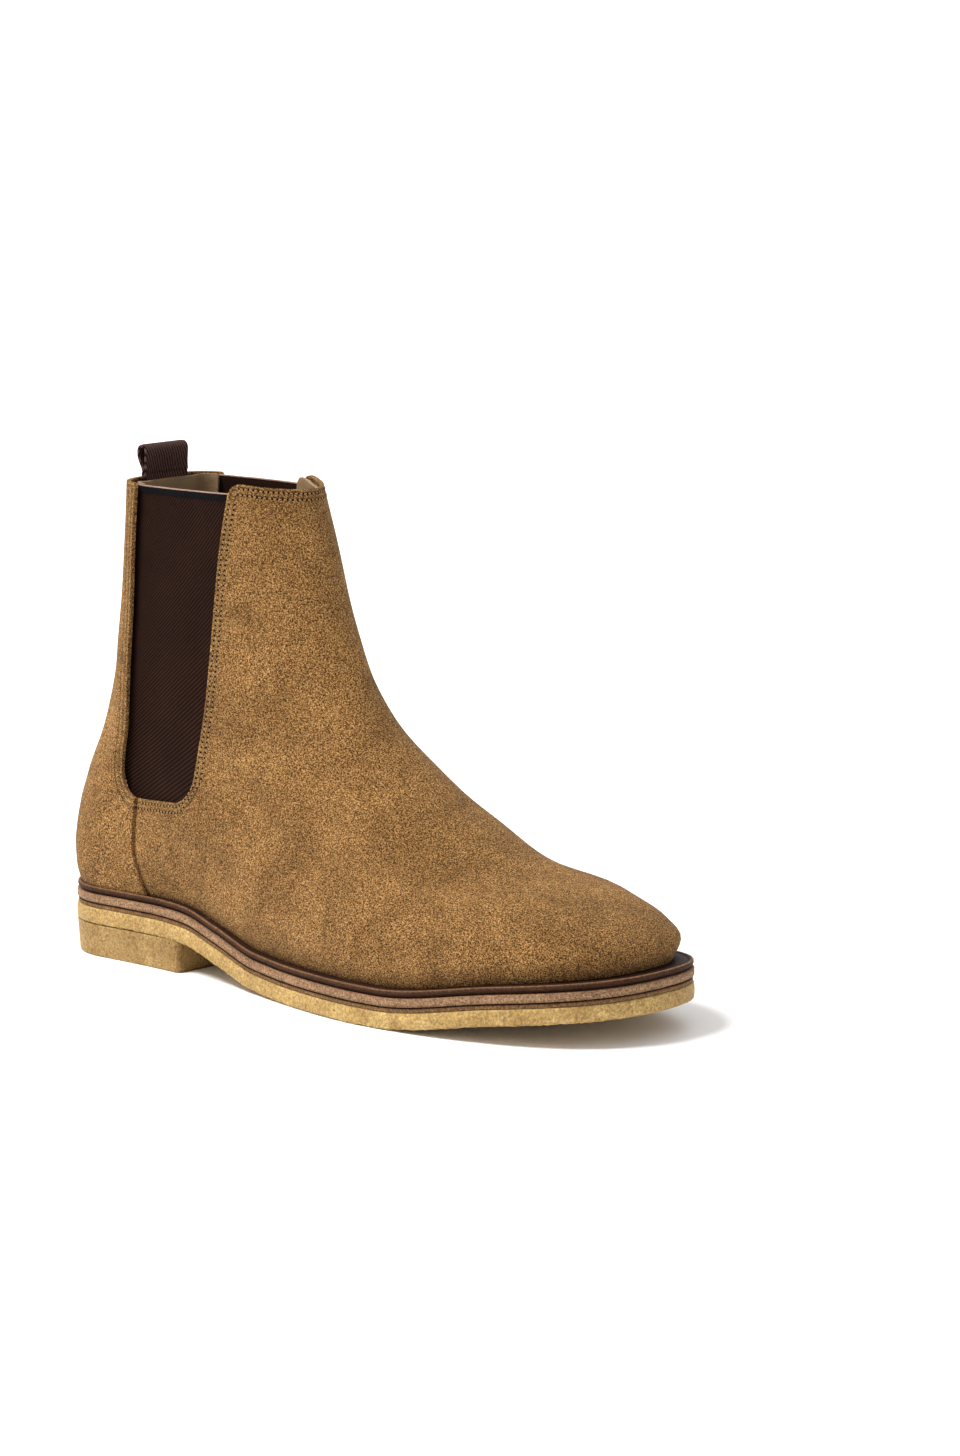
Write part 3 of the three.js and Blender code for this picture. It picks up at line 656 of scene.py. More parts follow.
def frontPlace(u, v):
    across, tab = withTabs(u)
    inner = np.clip(across, 0, 1)
    topAngle = edgeAngle(gore["frontEdge"], np.full_like(u, levelOfHeight(shaftHeight + 2)))
    topTurn = topAngle + (2 * math.pi - 2 * topAngle) * inner
    topX = onLast(topTurn, np.full_like(u, upper["rimLevel"]))[:, 0]
    level = levelOfHeight(v * (through(frontRim, topX) - seatHeight))
    edge = edgeAngle(gore["frontEdge"], level)
    seam = edgeAngle(shifted(seamAboveSeat, upper["seamGap"]), level)
    side = edge + (seam - edge) * tab
    angle = np.where(tab > 0, side, edge + (2 * math.pi - 2 * edge) * inner)
    return np.where(across > 1, 2 * math.pi - side, angle), level


farInside = -50  # what a distance reads where a line doesn't matter


def beyondFront(x, z):  # above 0 where the front panel has ended
    pastEdge = through(gore["frontEdge"], z - seatHeight) - x
    corner = roundedMeet(pastEdge, z - through(frontRim, x), upper["rimCorner"])
    return np.maximum(-fromGore(x, z), np.where(z > backRim - 8, corner, farInside))


def suedeDepth(angle, level, points):
    return worn(points) + upper["seamDip"] * nearSeam(points)


frontPanel = cutPanel("front_panel_suede", upper["frontColumns"], upper["rows"],
                      frontPlace, beyondFront, suedeDepth)
addThickness(frontPanel, upper["thickness"], upper["edge"])
print("front panel:", len(frontPanel.data.polygons), "faces")


def backPlace(u, v):
    across, tab = withTabs(u)
    level = levelOfHeight(v * shaftHeight)
    edge = edgeAngle(gore["backEdge"], level)
    side = edge + (edgeAngle(seamAboveSeat, level) - edge) * tab
    angle = np.where(tab > 0, side, edge * (1 - 2 * np.clip(across, 0, 1)))
    return np.where(across > 1, -side, angle), level


def beyondBack(x, z):
    pastEdge = x - through(gore["backEdge"], z - seatHeight)
    corner = roundedMeet(pastEdge, z - backRim, upper["backCorner"])
    return np.maximum(-fromGore(x, z), np.where(z > backRim - 6, corner, farInside))


backQuarter = cutPanel("back_quarter_suede", upper["backColumns"], upper["rows"],
                       backPlace, beyondBack, suedeDepth)
addThickness(backQuarter, upper["thickness"], upper["edge"])
print("back quarter:", len(backQuarter.data.polygons), "faces")

# ---- linings

liner = {
    "thickness": 1.2,
    "edge": 0.25,
    "depth": 2.25,
    "counter": 1.95,
    "puff": 1.45,
    "gore": 1.65,
    "tail": 3.05,
    "reach": 0.998,
    "frontColumns": 130,
    "backColumns": 90,
    "rows": 64,
}


def liningDepth(angle, level, points):
    x, z = points[:, 0], points[:, 2]
    height = z - seatHeight
    turn = np.degrees(np.abs(np.mod(angle + math.pi, 2 * math.pi) - math.pi))
    atCounter = ramp(79.5, 69.5, turn) * ramp(6.2, 5.2, level)
    atPuff = ramp(115.5, 125.5, turn) * ramp(5.2, 4.2, level)
    goreBack = through(gore["backEdge"], height) - gore["lap"]
    goreFront = through(gore["frontEdge"], height) + gore["lap"]
    foot = gore["bottom"] - gore["lap"]
    atGore = ramp(goreBack - 15, goreBack - 5, x) * ramp(goreFront + 18, goreFront + 8, x)
    atGore = atGore * ramp(foot - 12, foot - 2, height)
    tailFoot = shaftHeight - 16
    atTail = ramp(33, 16, turn) * ramp(tailFoot - 20, tailFoot - 6, height)
    layers = liner["counter"] * atCounter + liner["puff"] * atPuff
    return liner["depth"] + layers + liner["gore"] * atGore + liner["tail"] * atTail + worn(points)


def liningPlace(outer):
    def place(u, v):
        return outer(u, v * liner["reach"])
    return place


frontLining = cutPanel("front_lining_leather", liner["frontColumns"], liner["rows"],
                       liningPlace(frontPlace), beyondFront, liningDepth)
backLining = cutPanel("back_lining_leather", liner["backColumns"], liner["rows"],
                      liningPlace(backPlace), beyondBack, liningDepth)
for piece in (frontLining, backLining):
    addThickness(piece, liner["thickness"], liner["edge"])
print("linings made")

# ---- elastic gores

elastic = {
    "thickness": 1.2,
    "depth": 1.95,
    "rib": 0.95,
    "ribDepth": 0.04,
    "columns": 190,
    "rows": 76,
    "edge": 0.2,
    "bandColumns": 96,
    "bandRows": 4,
    "bandReach": 4,
    "bandHeight": 2.3,
    "bandLift": 0.35,
    "foldTop": 0.25,
    "paleTop": 0.75,
}
goreTop = backRim - gore["drop"]


def gorePlaceOn(side, top, low):
    def place(u, v):
        height = low + v * (top - low)
        level = levelOfHeight(height)
        back = edgeAngle(shifted(gore["backEdge"], -gore["lap"]), level)
        front = edgeAngle(shifted(gore["frontEdge"], gore["lap"]), level)
        return side * (back + (front - back) * u), level
    return place


def beyondGore(x, z):
    return fromGore(x, z) - gore["lap"]


def ribbed(angle, level, points):
    x, z = points[:, 0], points[:, 2]
    ribs = 0.5 + 0.5 * np.cos(2 * math.pi * (x - 0.03 * z) / elastic["rib"])
    sag = 0.25 * np.sin((x - 44) / 45 * math.pi) * ramp(goreTop - 50, goreTop - 110, z)
    return elastic["depth"] + sag + elastic["ribDepth"] * (1 - ribs)


def goreSheet(name, side):
    low = gore["bottom"] - gore["lap"] - 2
    sheet = cutPanel(name, elastic["columns"], elastic["rows"], gorePlaceOn(side, goreTop - seatHeight, low),
                     beyondGore, ribbed)
    addThickness(sheet, elastic["thickness"], elastic["edge"])
    return sheet


def goreBand(name, side, lift, low, high, thickness):  # a folded strip along the gore's top edge
    def depth(angle, level, points):
        return np.full(len(points), elastic["depth"] - lift)

    def beyond(x, z):
        return fromGore(x, z) - elastic["bandReach"]

    place = gorePlaceOn(side, goreTop - seatHeight + high, goreTop - seatHeight + low)
    strip = cutPanel(name, elastic["bandColumns"], elastic["bandRows"], place, beyond, depth)
    addThickness(strip, thickness, elastic["edge"])
    return strip


gores = [goreSheet("gore_elastic_lateral", 1), goreSheet("gore_elastic_medial", -1)]
bands, paleTopStrips = [], []
for side, word in ((1, "lateral"), (-1, "medial")):
    bands.append(goreBand("gore_band_" + word, side, elastic["bandLift"], -elastic["bandHeight"],
                          elastic["foldTop"], elastic["thickness"] + 2 * elastic["bandLift"]))
    # a pale strip along the very top of each gore, above the black band's fold
    paleTopStrips.append(goreBand("gore_pale_top_" + word, side, elastic["bandLift"] - 0.3, elastic["foldTop"],
                             elastic["paleTop"], elastic["thickness"] + 0.2))
print("gores made")

# ---- pull tape, one strip folded over on itself and sewn in between suede and lining

tape = {
    "width": 25,
    "thickness": 1.3,
    "tail": 16,
    "rise": 1,
    "height": 11.5,
    "depth": 5.6,
    "rib": 1.45,
    "ribDepth": 0.12,
    "ribSlant": 0.42,
    "gap": 0.45,
    "foldGap": 0.1,
    "mouth": 0.12,
    "spreadBy": 0.7,
    "crownFrom": 0.78,
    "edge": 0.25,
    "columns": 240,
    "rows": 104,
}
tailDepth = upper["thickness"] + tape["gap"] + tape["thickness"]
tailTop = under(np.array([0.0]), np.array([float(topLevel)]), np.array([tailDepth]))[0]
pivotZ = backRim + tape["rise"] + tape["thickness"] + stack["cement"]
pivotX = tailTop[0]


def backCurve(y, z):  # how far forward the tail lies at y from the middle of the shaft's back, at height z
    level = levelOfHeight(np.minimum(z, backRim) - seatHeight)
    back = through(lastCurves["back"], level)
    rounding = through(lastCurves["rounding"], level)
    heel = through(lastCurves["heel"], level)
    fullness = through(lastCurves["heelFullness"], level)
    swing = np.abs(y) / np.maximum(heel - tailDepth, 1)
    curve = rounding * (1 - (1 - np.clip(swing, 0, 1) ** fullness) ** (1 / fullness))
    top = through(lastCurves["back"], np.array([float(topLevel)]))[0]
    return curve * ramp(pivotZ + 7, pivotZ - 1, z) + (back - top)


def tapeLine():  # the tape's middle line in the side view, from one sewn end to the other
    turns = np.linspace(tape["mouth"], 2 * math.pi - tape["mouth"], 90)
    inside = tape["depth"] / 2 - tape["thickness"] / 2
    height = tape["height"] - tape["thickness"] / 2
    half = tape["thickness"] / 2 + tape["foldGap"]
    rise = (1 - np.cos(turns)) / 2
    spread = half + (inside - half) * ramp(0, tape["spreadBy"], rise)
    overCrown = np.maximum((rise - tape["crownFrom"]) / (1 - tape["crownFrom"]), 0)
    crown = np.sqrt(np.maximum(1 - overCrown**2, 0))
    loopX = np.where(turns < math.pi, 1, -1) * spread * crown
    loopZ = height * rise
    down = np.linspace(0, 1, 24)[1:]
    tailZ = pivotZ - down * (pivotZ - (backRim - tape["tail"]))
    inX = pivotX + half + backCurve(np.zeros_like(tailZ), tailZ)
    outX = pivotX - half + backCurve(np.zeros_like(tailZ), tailZ)
    outerTail = np.stack([outX[::-1], tailZ[::-1]], axis=-1)
    loop = np.stack([pivotX - loopX, pivotZ + loopZ], axis=-1)
    innerTail = np.stack([inX, tailZ], axis=-1)
    return np.concatenate([outerTail, loop, innerTail])


def pullTape():
    line = tapeLine()
    steps = np.linalg.norm(np.diff(line, axis=0), axis=1)
    length = np.concatenate([[0], np.cumsum(steps)])
    bm = gridOf(tape["columns"], tape["rows"])
    u, v = flatPlaces(bm)
    s = u * length[-1]
    x, z = np.interp(s, length, line[:, 0]), np.interp(s, length, line[:, 1])
    ahead, behind = np.minimum(s + 0.3, length[-1]), np.maximum(s - 0.3, 0)
    wayX = np.interp(ahead, length, line[:, 0]) - np.interp(behind, length, line[:, 0])
    wayZ = np.interp(ahead, length, line[:, 1]) - np.interp(behind, length, line[:, 1])
    size = np.hypot(wayX, wayZ)
    y = (v - 0.5) * tape["width"]
    x = x + backCurve(y, z) - backCurve(np.zeros_like(y), z)
    twill = -np.cos(2 * math.pi * (y - tape["ribSlant"] * s) / tape["rib"])
    hem = ramp(tape["width"] / 2 - 0.3, tape["width"] / 2 - 1.8, np.abs(y))
    lift = tape["ribDepth"] * (0.5 + 0.5 * twill) * hem
    middle = toeSwing * (pivotX / soleLength) ** 2
    points = np.stack([x - wayZ / size * lift, y + middle, z + wayX / size * lift], axis=-1)
    setPlaces(bm, toFrame(points))
    bm.verts.index_update()
    piece = finishPiece(bm, "pull_tape", np.stack([y * mm, s * mm], axis=-1))
    addThickness(piece, tape["thickness"] - 0.1, tape["edge"], 0)
    return piece


pullLoop = pullTape()
print("pull tape made")

# ---- sole layers, each lofted round the outline from a profile of (inset, height)

def soleLayer(name, shape, profile, around=220, ragged=0.0):
    rings = len(profile)
    bm = gridOf(rings - 1, around)
    u, v = flatPlaces(bm)
    ringAt = np.rint(u * (rings - 1)).astype(int)
    angle = v * 2 * math.pi
    insets = np.array([p[0] for p in profile], float)[ringAt]
    heights = np.array([p[1] for p in profile], float)[ringAt]
    spread = np.array([p[2] if len(p) > 2 else 1.0 for p in profile])[ringAt]
    x, y = outline(inset(shape, insets), angle)
    spine = toeSwing * np.clip(x / soleLength, 0, 1) ** 2
    y = spine + (y - spine) * spread
    if ragged:
        rough = np.sin(angle * 97 + 3 * np.sin(angle * 31)) * np.sin(angle * 211 + 1.7)
        low = ramp(1.6, 0.2, heights - min(p[1] for p in profile))
        heights = heights + ragged * (0.5 + 0.5 * rough) * low * (spread > 0.9)
    z = heights + underside(x)
    steps = [math.dist(a[:2], b[:2]) for a, b in zip(profile, profile[1:])]
    walked = np.concatenate([[0], np.cumsum(steps)])
    setPlaces(bm, toFrame(np.stack([x, y, z], axis=-1)))
    bm.verts.index_update()
    bm.verts.ensure_lookup_table()
    layer = bm.loops.layers.uv.new("UVMap")
    share = (walked / walked[-1])[ringAt]
    for face in bm.faces:
        for loop in face.loops:
            i = loop.vert.index
            loop[layer].uv = (angle[i] * 0.1, share[i])
    bmesh.ops.remove_doubles(bm, verts=bm.verts, dist=2e-6)
    bmesh.ops.dissolve_degenerate(bm, edges=bm.edges, dist=1e-6)
    bmesh.ops.recalc_face_normals(bm, faces=bm.faces)
    return finishPiece(bm, name)


def capped(profile):  # closes a wall profile across the sole, below and above
    low, high = profile[0], profile[-1]
    inwards = (0.985, 0.9, 0.7, 0.35, 0.0)
    below = [(low[0], low[1], s) for s in reversed(inwards)]
    above = [(high[0], high[1], s) for s in inwards]
    return below + profile + above


hairline = 0.02  # between layers that look pressed together
slipBase = stack["outsole"] + hairline
midBase = slipBase + stack["slipSole"] + 0.7
weltBase = midBase + stack["midsole"] + hairline

outsoleProfile = [(1.1, 0.0), (0.45, 0.12), (0.1, 0.5), (0.0, 1.1), (-0.1, 2.2), (-0.15, 3.8), (-0.05, 5.4),
                  (0.1, 6.4), (0.35, 6.85), (0.9, 7.0)]
outsolePiece = soleLayer("outsole_crepe", soleShape, capped(outsoleProfile), 520, ragged=0.5)
slipProfile = [(1.4, slipBase), (0.75, slipBase + 0.1), (0.55, slipBase + 0.5), (0.6, slipBase + 1.1),
               (0.5, slipBase + 1.7), (0.9, slipBase + 2.2), (1.4, slipBase + 2.25)]
slipPiece = soleLayer("slip_sole_leather", soleShape, capped(slipProfile))
midProfile = [(1.6, midBase), (0.5, midBase + 0.05), (0.15, midBase + 0.35), (0.0, midBase + 0.9),
              (0.05, midBase + 2.0), (0.0, midBase + 3.0), (0.3, midBase + 3.45), (0.9, midBase + 3.6),
              (1.8, midBase + 3.6)]
midPiece = soleLayer("midsole_leather_layer", soleShape, capped(midProfile))
weltTop = stackHeight
weltProfile = [(11, weltBase), (2.2, weltBase), (1.5, weltBase + 0.05), (1.15, weltBase + 0.5),
               (0.85, weltBase + 1.0), (0.45, weltBase + 1.3), (0.3, weltBase + 1.7), (0.35, weltTop - 0.45),
               (0.6, weltTop - 0.1), (1.0, weltTop), (1.7, weltTop - 0.05), (2.1, weltTop - 0.45),
               (2.6, weltTop - 0.5), (3.1, weltTop - 0.2), (3.8, weltTop - 0.1), (11, weltTop - 0.1),
               (11, weltBase)]
weltPiece = soleLayer("welt_strip", soleShape, weltProfile, 260)


heel = {
    "breast": 78,
    "taper": 1.0,
    "around": 150,
    "across": 14,
    "corner": 3.2,
    "rim": 0.7,
    "wear": 0.14,
}


def uprightEdges(bm):
    return [e for e in bm.edges if abs(e.verts[0].co.z - e.verts[1].co.z) > 5]


def heelLift():  # the crepe heel block: the sole's outline cut off square at the breast
    breast, top = heel["breast"], heelHeight - hairline
    bm = bmesh.new()
    reach = math.acos(1 - 2 * breast / soleLength)
    ring = []
    for angle in np.linspace(-reach, reach, heel["around"]):
        x, y = outline(soleShape, np.array(angle))
        ring.append(bm.verts.new((float(x), float(y), top)))
    firstY, lastY = ring[0].co.y, ring[-1].co.y
    for i in range(1, heel["across"]):
        ring.append(bm.verts.new((breast, lastY + (firstY - lastY) * i / heel["across"], top)))
    face = bm.faces.new(ring)
    lower = bmesh.ops.extrude_face_region(bm, geom=[face])["geom"]
    for vert in [part for part in lower if isinstance(part, bmesh.types.BMVert)]:
        vert.co.z = 0
        if vert.co.x < breast - 0.01:
            vert.co -= Vector((vert.co.x - breast / 2, vert.co.y, 0)).normalized() * heel["taper"]
    bmesh.ops.recalc_face_normals(bm, faces=bm.faces)
    corners = [e for e in uprightEdges(bm) if abs(e.verts[0].co.x - breast) < 0.01
               and abs(e.verts[0].co.y) > abs(firstY) - 3]
    bmesh.ops.bevel(bm, geom=corners, offset=heel["corner"], segments=5, affect="EDGES", profile=0.5,
                    material=-1)
    rims = [e for e in bm.edges if e.calc_face_angle(0) > math.radians(50)]
    bmesh.ops.bevel(bm, geom=rims, offset=heel["rim"], segments=3, affect="EDGES", profile=0.5, material=-1)
    bmesh.ops.subdivide_edges(bm, edges=uprightEdges(bm), cuts=7, use_grid_fill=True)
    for vert in bm.verts:
        x, y, z = vert.co
        if 0.05 < z < 0.8:
            vert.co.z = z + heel["wear"] * math.sin(x * 1.9 + y * 2.3) * math.sin(x * 0.7 - y * 1.1)
    setPlaces(bm, toFrame(np.array([vert.co for vert in bm.verts])))
    return finishPiece(bm, "heel_block_crepe")


heelPiece = heelLift()
sock = {
    "inset": 7,
    "lasted": 0.6,
    "liningGap": 0.45,
    "insole": 2.5,
    "gap": 0.3,
}
sockBase = (stackHeight + sock["lasted"] + upper["thickness"] + sock["liningGap"] + liner["thickness"]
            + stack["cement"] + sock["insole"] + sock["gap"])
sockShape = inset(dict(zip(lastKeys, lastRows[0])), sock["inset"])
sockProfile = [(0.3, sockBase), (0.0, sockBase + 0.4), (0.0, sockBase + 1.1), (0.4, sockBase + 1.5)]
sockPiece = soleLayer("sock_liner_leather", sockShape, capped(sockProfile), 160)
print("sole layers made")

# ---- stitching

stitch = {
    "pitch": 2.1,
    "length": 1.5,
    "width": 0.6,
    "height": 0.5,
    "hole": 0.5,
    "holeHeight": 0.14,
    "seamOffset": 1.6,
    "rimRows": (1.7, 4.2),
    "frontStart": 0.09,
    "backStart": -0.12,
}


def evenly(points):  # the length at each point, and the places along it where stitches go
    length = np.concatenate([[0], np.cumsum(np.linalg.norm(np.diff(points, axis=0), axis=1))])
    return length, np.arange(stitch["pitch"] / 2, length[-1], stitch["pitch"])


def rowPoints(xs, zs, beyond=None):  # even places along a side-view line
    points = np.stack([xs, zs], axis=-1)
    if beyond is not None:
        points = np.stack(snapToEdge(points[:, 0], points[:, 1], beyond), axis=-1)
    length, places = evenly(points)
    return np.stack([np.interp(places, length, points[:, k]) for k in (0, 1)], axis=-1)


def stitchesAlong(bm, places, side):
    x, z = places.T
    level = levelAt(x, z)
    sewStitches(bm, side * angleAt(x, level), level)


def sewStitches(bm, angle, level):
    depth = suedeDepth(angle, level, onLast(angle, level))
    outer = under(angle, level, depth)
    normal = under(angle, level, depth - 1) - outer
    centres, normals = toFrame(outer), normal / np.linalg.norm(normal, axis=1, keepdims=True)
    ways = np.gradient(centres, axis=0)
    length, width, height = (stitch[key] / 2 * mm for key in ("length", "width", "height"))
    threadSize = Matrix.Diagonal((length, width, height, 1))
    holeShadeSize = Matrix.Diagonal((stitch["hole"] * mm, stitch["hole"] * mm, stitch["holeHeight"] * mm, 1))
    row = bmesh.new()
    for centre, way, up in zip(centres, ways, normals):
        along = Vector(way).normalized()
        out = Vector(up)
        aside = out.cross(along).normalized()
        out = along.cross(aside).normalized()
        turn = Matrix((along, aside, out)).transposed().to_4x4()
        bmesh.ops.create_uvsphere(row, u_segments=6, v_segments=4, radius=1,
                                  matrix=Matrix.Translation(Vector(centre)) @ turn @ threadSize)
        # halfway to the next stitch, a flat dark disc painted as the shade inside the needle hole
        hole = Vector(centre) + along * stitch["pitch"] / 2 * mm
        holeShadeDots = bmesh.ops.create_uvsphere(row, u_segments=6, v_segments=4, radius=1,
                                         matrix=Matrix.Translation(hole) @ turn @ holeShadeSize)
        for vert in holeShadeDots["verts"]:
            for face in vert.link_faces:
                face.material_index = 1
    sewn = bpy.data.meshes.new("row")
    row.to_mesh(sewn)
    row.free()
    bm.from_mesh(sewn)
    bpy.data.meshes.remove(sewn)


def goreRow(offset, fromX, toX):
    # a line at that distance from the gore, down its edge and then between two places along its bottom
    heights = np.linspace(shaftHeight - 3, gore["bottom"] + 12, 90)
    bottom = np.linspace(fromX, toX, 60)
    if fromX < toX:
        edge = through(gore["backEdge"], heights) - offset
    else:
        edge = through(gore["frontEdge"], heights) + offset
    bottomZ = np.full_like(bottom, seatHeight + gore["bottom"] - offset)
    xs = np.concatenate([edge, bottom])
    zs = np.concatenate([seatHeight + heights, bottomZ])
    return rowPoints(xs, zs, lambda x, z: fromGore(x, z) - offset)


def rimRow(bm, drop, line, offset, wholeWay, rimOf):  # below the rim, from one gore round to the other
    level = np.full(400, levelOfHeight(shaftHeight - drop))
    start = edgeAngle(line, level[:1])[0] + offset
    angle = np.linspace(start, wholeWay - start, 400)
    level = levelOfHeight(rimOf(onLast(angle, level)[:, 0]) - seatHeight - drop)
    length, places = evenly(onLast(angle, level))
    sewStitches(bm, np.interp(places, length, angle), np.interp(places, length, level))


frontSeams, backSeams = bmesh.new(), bmesh.new()
for side in (1, -1):
    for offset in stitchRows:
        stitchesAlong(frontSeams, goreRow(offset, 84, 52), side)
        stitchesAlong(backSeams, goreRow(offset, 43, 49), side)
    seamZ = np.linspace(seatHeight + gore["bottom"] - 5, seatHeight + 2, 60)
    stitchesAlong(backSeams, rowPoints(through(seamLine, seamZ) - stitch["seamOffset"], seamZ), side)
for drop in stitch["rimRows"]:
    rimRow(frontSeams, drop, gore["frontEdge"], stitch["frontStart"], 2 * math.pi,
           lambda x: through(frontRim, x))
    rimRow(backSeams, drop, gore["backEdge"], stitch["backStart"], 0, lambda x: np.full_like(x, backRim))
frontStitches = finishPiece(frontSeams, "front_stitching")
backStitches = finishPiece(backSeams, "back_stitching")
print("stitching:", len(frontStitches.data.polygons) + len(backStitches.data.polygons), "faces")

# ---- finishes

suedeFinish = suedeMaterial("tan suede")
wear(frontPanel, suedeFinish)
wear(backQuarter, suedeFinish)
liningFinish = plainLeather("lining leather", (0.20, 0.125, 0.060), (0.29, 0.19, 0.10), 1500, 0.7)
wear(frontLining, liningFinish)
wear(backLining, liningFinish)
wear(sockPiece, liningFinish)
elasticFinish = elasticMaterial("brown elastic", (0.0040, 0.0017, 0.0010), (0.026, 0.0108, 0.0068),
                                262, 45, 1.0)
bandFinish = elasticMaterial("black elastic edge", (0.0022, 0.0022, 0.003), (0.007, 0.007, 0.010))
paleTopFinish = plainLeather("gore pale top", (0.22, 0.13, 0.09), (0.36, 0.24, 0.18), 1800, 0.7)
for piece in gores:
    wear(piece, elasticFinish)
for piece in bands:
    wear(piece, bandFinish)
for piece in paleTopStrips:
    wear(piece, paleTopFinish)
# the webbing's bands follow the tape's twill ribs: its pinkish light is a painted highlight on the rib
# crests, its near black painted shade between them
webbingFinish = elasticMaterial("brown webbing", (0.0045, 0.0022, 0.0020), (0.100, 0.054, 0.047),
                                235, 22.8, 1.0)
wear(pullLoop, webbingFinish)
outsoleFinish = crepeMaterial("honey crepe", (0.31, 0.185, 0.055), (0.46, 0.30, 0.105), (0.62, 0.45, 0.19))
# the heel block wears a darker, slightly browner copy of the outsole's crepe: painted shade for the heel's
# side, which lies in shade
heelCrepeShaded = crepeMaterial("heel crepe darkened as shade", (0.240, 0.136, 0.040), (0.350, 0.220, 0.078), (0.48, 0.34, 0.14))
wear(outsolePiece, outsoleFinish)
wear(heelPiece, heelCrepeShaded)
slipTones = [(0.0, (0.06, 0.028, 0.011)), (0.3, (0.21, 0.12, 0.055)), (0.6, (0.16, 0.085, 0.036)),
             (0.7, (0.03, 0.013, 0.006))]
midTones = [(0.0, (0.16, 0.086, 0.042)), (0.45, (0.32, 0.195, 0.112)), (0.8, (0.23, 0.130, 0.070))]
# the welt's colour across its profile: near black at the bottom and side, a painted highlight along the top
# outer rim (the light stop at 0.50), then near black again from the channel inwards
weltTonesWithRimHighlight = [(0.0, (0.008, 0.003, 0.0016)), (0.40, (0.032, 0.012, 0.0055)), (0.465, (0.055, 0.024, 0.011)),
             (0.50, (0.23, 0.120, 0.058)), (0.525, (0.085, 0.040, 0.018)), (0.55, (0.026, 0.010, 0.005))]
wear(slipPiece, layeredEdge("slip sole edge", slipTones, 0.6, (0.30, 0.19, 0.095), 0.75))
wear(midPiece, layeredEdge("midsole edge", midTones, 0.56, (0.080, 0.038, 0.018), 0.65))
wear(weltPiece, layeredEdge("welt leather", weltTonesWithRimHighlight, 0.6, (0.14, 0.068, 0.030), 0.6))
threadFinish = threadMaterial("tan thread", (0.16, 0.090, 0.036), (0.50, 0.32, 0.15))
# near black for the needle-hole discs: painted shade standing for the holes
holeShadeFinish = threadMaterial("needle hole shade", (0.006, 0.003, 0.0015), (0.02, 0.01, 0.005))
for piece in (frontStitches, backStitches):
    piece.data.materials.append(threadFinish)
    piece.data.materials.append(holeShadeFinish)

hidden = {
    "cork_filler": boardMaterial("cork", (0.20, 0.11, 0.05), (0.42, 0.26, 0.13), 420, 0.9),
    "insole": boardMaterial("insole board", (0.42, 0.29, 0.16), (0.55, 0.40, 0.24), 160, 0.8),
    "shank": boardMaterial("steel", (0.36, 0.37, 0.38), (0.55, 0.56, 0.57), 90, 0.35, 1.0),
    "heel_counter": boardMaterial("counter board", (0.20, 0.13, 0.08), (0.30, 0.21, 0.13), 220, 0.85),
    "toe_puff": boardMaterial("toe puff cloth", (0.28, 0.25, 0.21), (0.38, 0.34, 0.29), 380, 0.85),
}
nailFinish = boardMaterial("nail steel", (0.30, 0.29, 0.27), (0.48, 0.46, 0.43), 120, 0.4, 1.0)
for name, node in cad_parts.items():
    finish = nailFinish if name.startswith("heel_nail") else hidden.get(name)
    if finish:
        node.data.materials.clear()
        node.data.materials.append(finish)

# ---- what moves with what: the front pieces and sole layers go on the root body, the back pieces, gores and pull tape are baked into the frame

for piece, nodes in (
    (frontPanel, ["front_panel"]), (frontLining, ["front_lining"]), (frontStitches, []),
    (outsolePiece, ["outsole"]), (slipPiece, ["slip_sole"]), (midPiece, ["midsole"]),
    (weltPiece, ["welt"]), (heelPiece, ["heel_block"]), (sockPiece, ["sock_liner"]),
):
    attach(piece, "root")
    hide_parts(*nodes)

for piece, nodes in (
    (backQuarter, ["heel_quarter", "shaft_back"]), (backLining, ["heel_lining", "shaft_back_lining"]),
    (backStitches, []),
):
    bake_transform(piece)
    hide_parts(*nodes)
for piece, nodes in zip(gores + bands + paleTopStrips, [["gore_lateral"], ["gore_medial"], [], [], [], []]):
    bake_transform(piece)
    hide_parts(*nodes)
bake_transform(pullLoop)
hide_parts("pull_loop_tail", "pull_loop")

# ---- floor, light and camera

studio = {
    "azimuth": 40.81,
    "elevation": 9.72,
    "distance": 2.0,
    "lens": 121.3,
    "aim": (0.0448, 0.01679),
    "aimHeight": 0.09,
    "world": 0.74,
    "floorGlow": 0.36,
    "floorSize": 90,
}

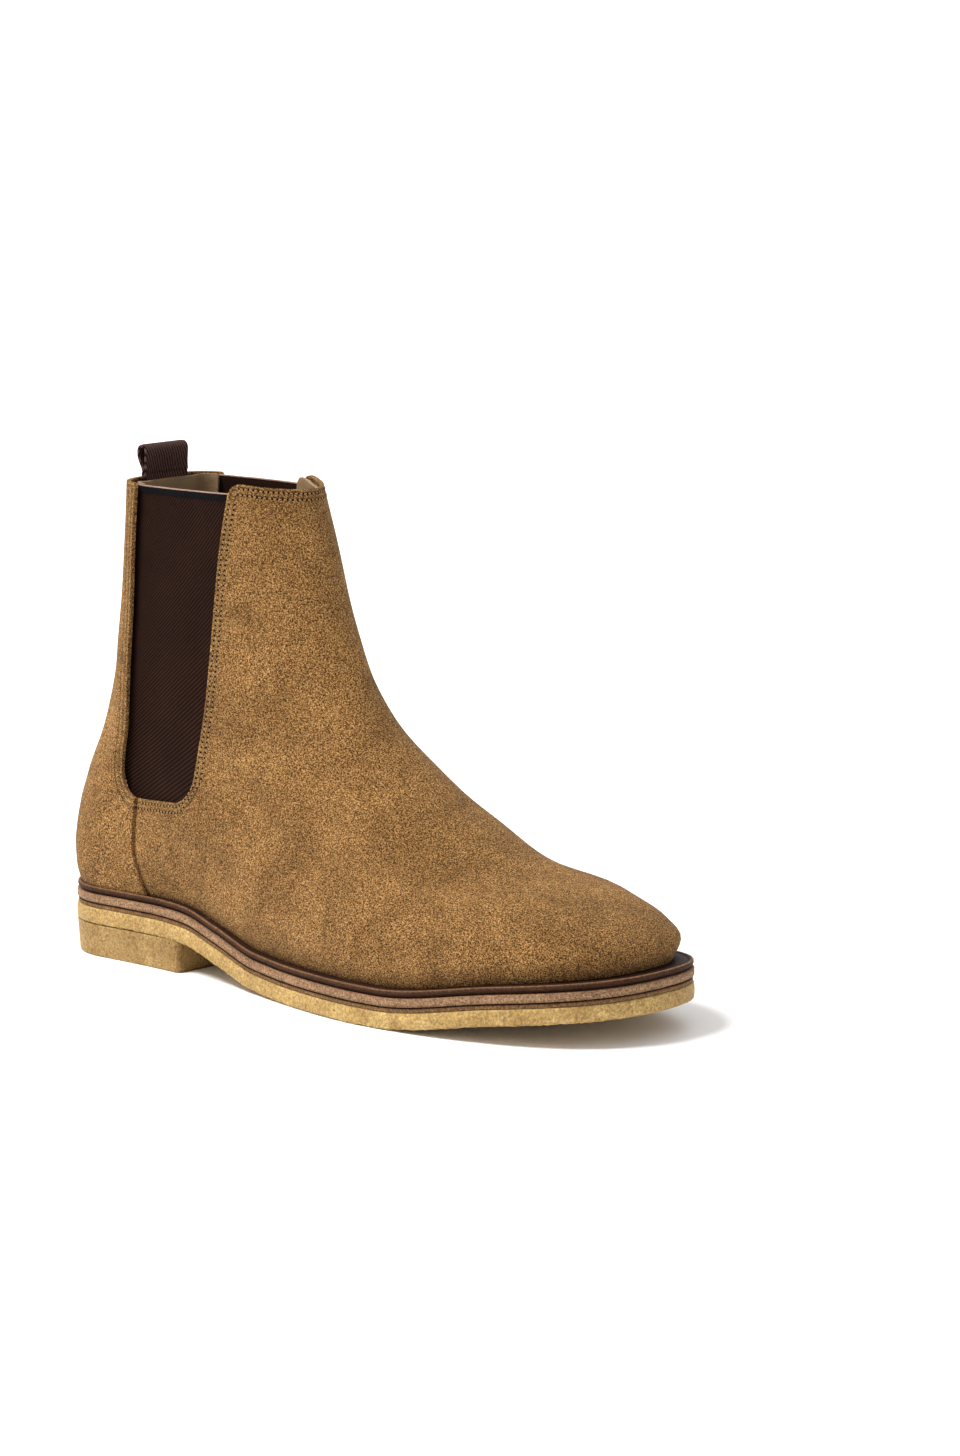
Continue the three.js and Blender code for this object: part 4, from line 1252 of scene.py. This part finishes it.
floorMesh = bmesh.new()
bmesh.ops.create_grid(floorMesh, x_segments=1, y_segments=1, size=studio["floorSize"])
floor = finishPiece(floorMesh, "studio_floor", smooth=False)
floorSettings = {"Roughness": 0.8, "Emission Color": (1, 1, 1, 1)}
floorFinish, floorTree, floorShader = newMaterial("pale floor", floorSettings)
floorCloud = noise(floorTree, patternPlace(floorTree), 3, 2)
floorTone = colours(floorTree, floorCloud, [(0, (0.89, 0.89, 0.89)), (1, (0.91, 0.91, 0.91))])
floorTree.links.new(floorTone, floorShader.inputs["Base Color"])
farAway = floorTree.nodes.new("ShaderNodeVectorMath")
farAway.operation = "LENGTH"
floorTree.links.new(patternPlace(floorTree), farAway.inputs[0])
glow = maths(floorTree, maths(floorTree, farAway.outputs["Value"], "SUBTRACT", 0.5), "MULTIPLY", 0.4)
glow = maths(floorTree, maths(floorTree, glow, "MAXIMUM", 0.0), "MINIMUM", studio["floorGlow"])
floorTree.links.new(glow, floorShader.inputs["Emission Strength"])
floor.data.materials.append(floorFinish)

world = bpy.data.worlds.new("studio")
bpy.context.scene.world = world
world.use_nodes = True
world.node_tree.nodes["Background"].inputs["Color"].default_value = (1, 1, 1, 1)
world.node_tree.nodes["Background"].inputs["Strength"].default_value = studio["world"]


def softLight(name, place, aim, size, power, tint=(1, 1, 1)):
    data = bpy.data.lights.new(name, "AREA")
    data.shape = "DISK"
    data.size = size
    data.energy = power
    data.color = tint
    lamp = bpy.data.objects.new(name, data)
    bpy.context.scene.collection.objects.link(lamp)
    lamp.location = place
    lamp.rotation_mode = "QUATERNION"
    lamp.rotation_quaternion = (Vector(aim) - Vector(place)).to_track_quat("-Z", "Y")


softLight("key", (-0.75, -1.15, 2.3), (0, 0, 0.08), 0.9, 82, (1, 0.985, 0.96))
softLight("side", (-1.7, -0.9, 0.7), (0, 0, 0.1), 1.2, 3)
softLight("back", (-0.6, 1.8, 1.7), (0, 0, 0.08), 1.4, 12)

azimuth, elevation = math.radians(studio["azimuth"]), math.radians(studio["elevation"])
back = Vector((math.sin(azimuth) * math.cos(elevation), -math.cos(azimuth) * math.cos(elevation),
               math.sin(elevation)))
right = Vector((math.cos(azimuth), math.sin(azimuth), 0))
upward = back.cross(right)
aim = Vector((0, -middleY * mm, studio["aimHeight"])) + right * studio["aim"][0] + upward * studio["aim"][1]
cameraData = bpy.data.cameras.new("camera")
cameraData.lens = studio["lens"]
cameraData.sensor_width = 36
camera = bpy.data.objects.new("camera", cameraData)
bpy.context.scene.collection.objects.link(camera)
camera.location = aim + back * studio["distance"]
camera.rotation_mode = "QUATERNION"
camera.rotation_quaternion = (-back).to_track_quat("-Z", "Y")
bpy.context.scene.camera = camera
bpy.context.scene.view_settings.view_transform = "Standard"
print("studio ready")
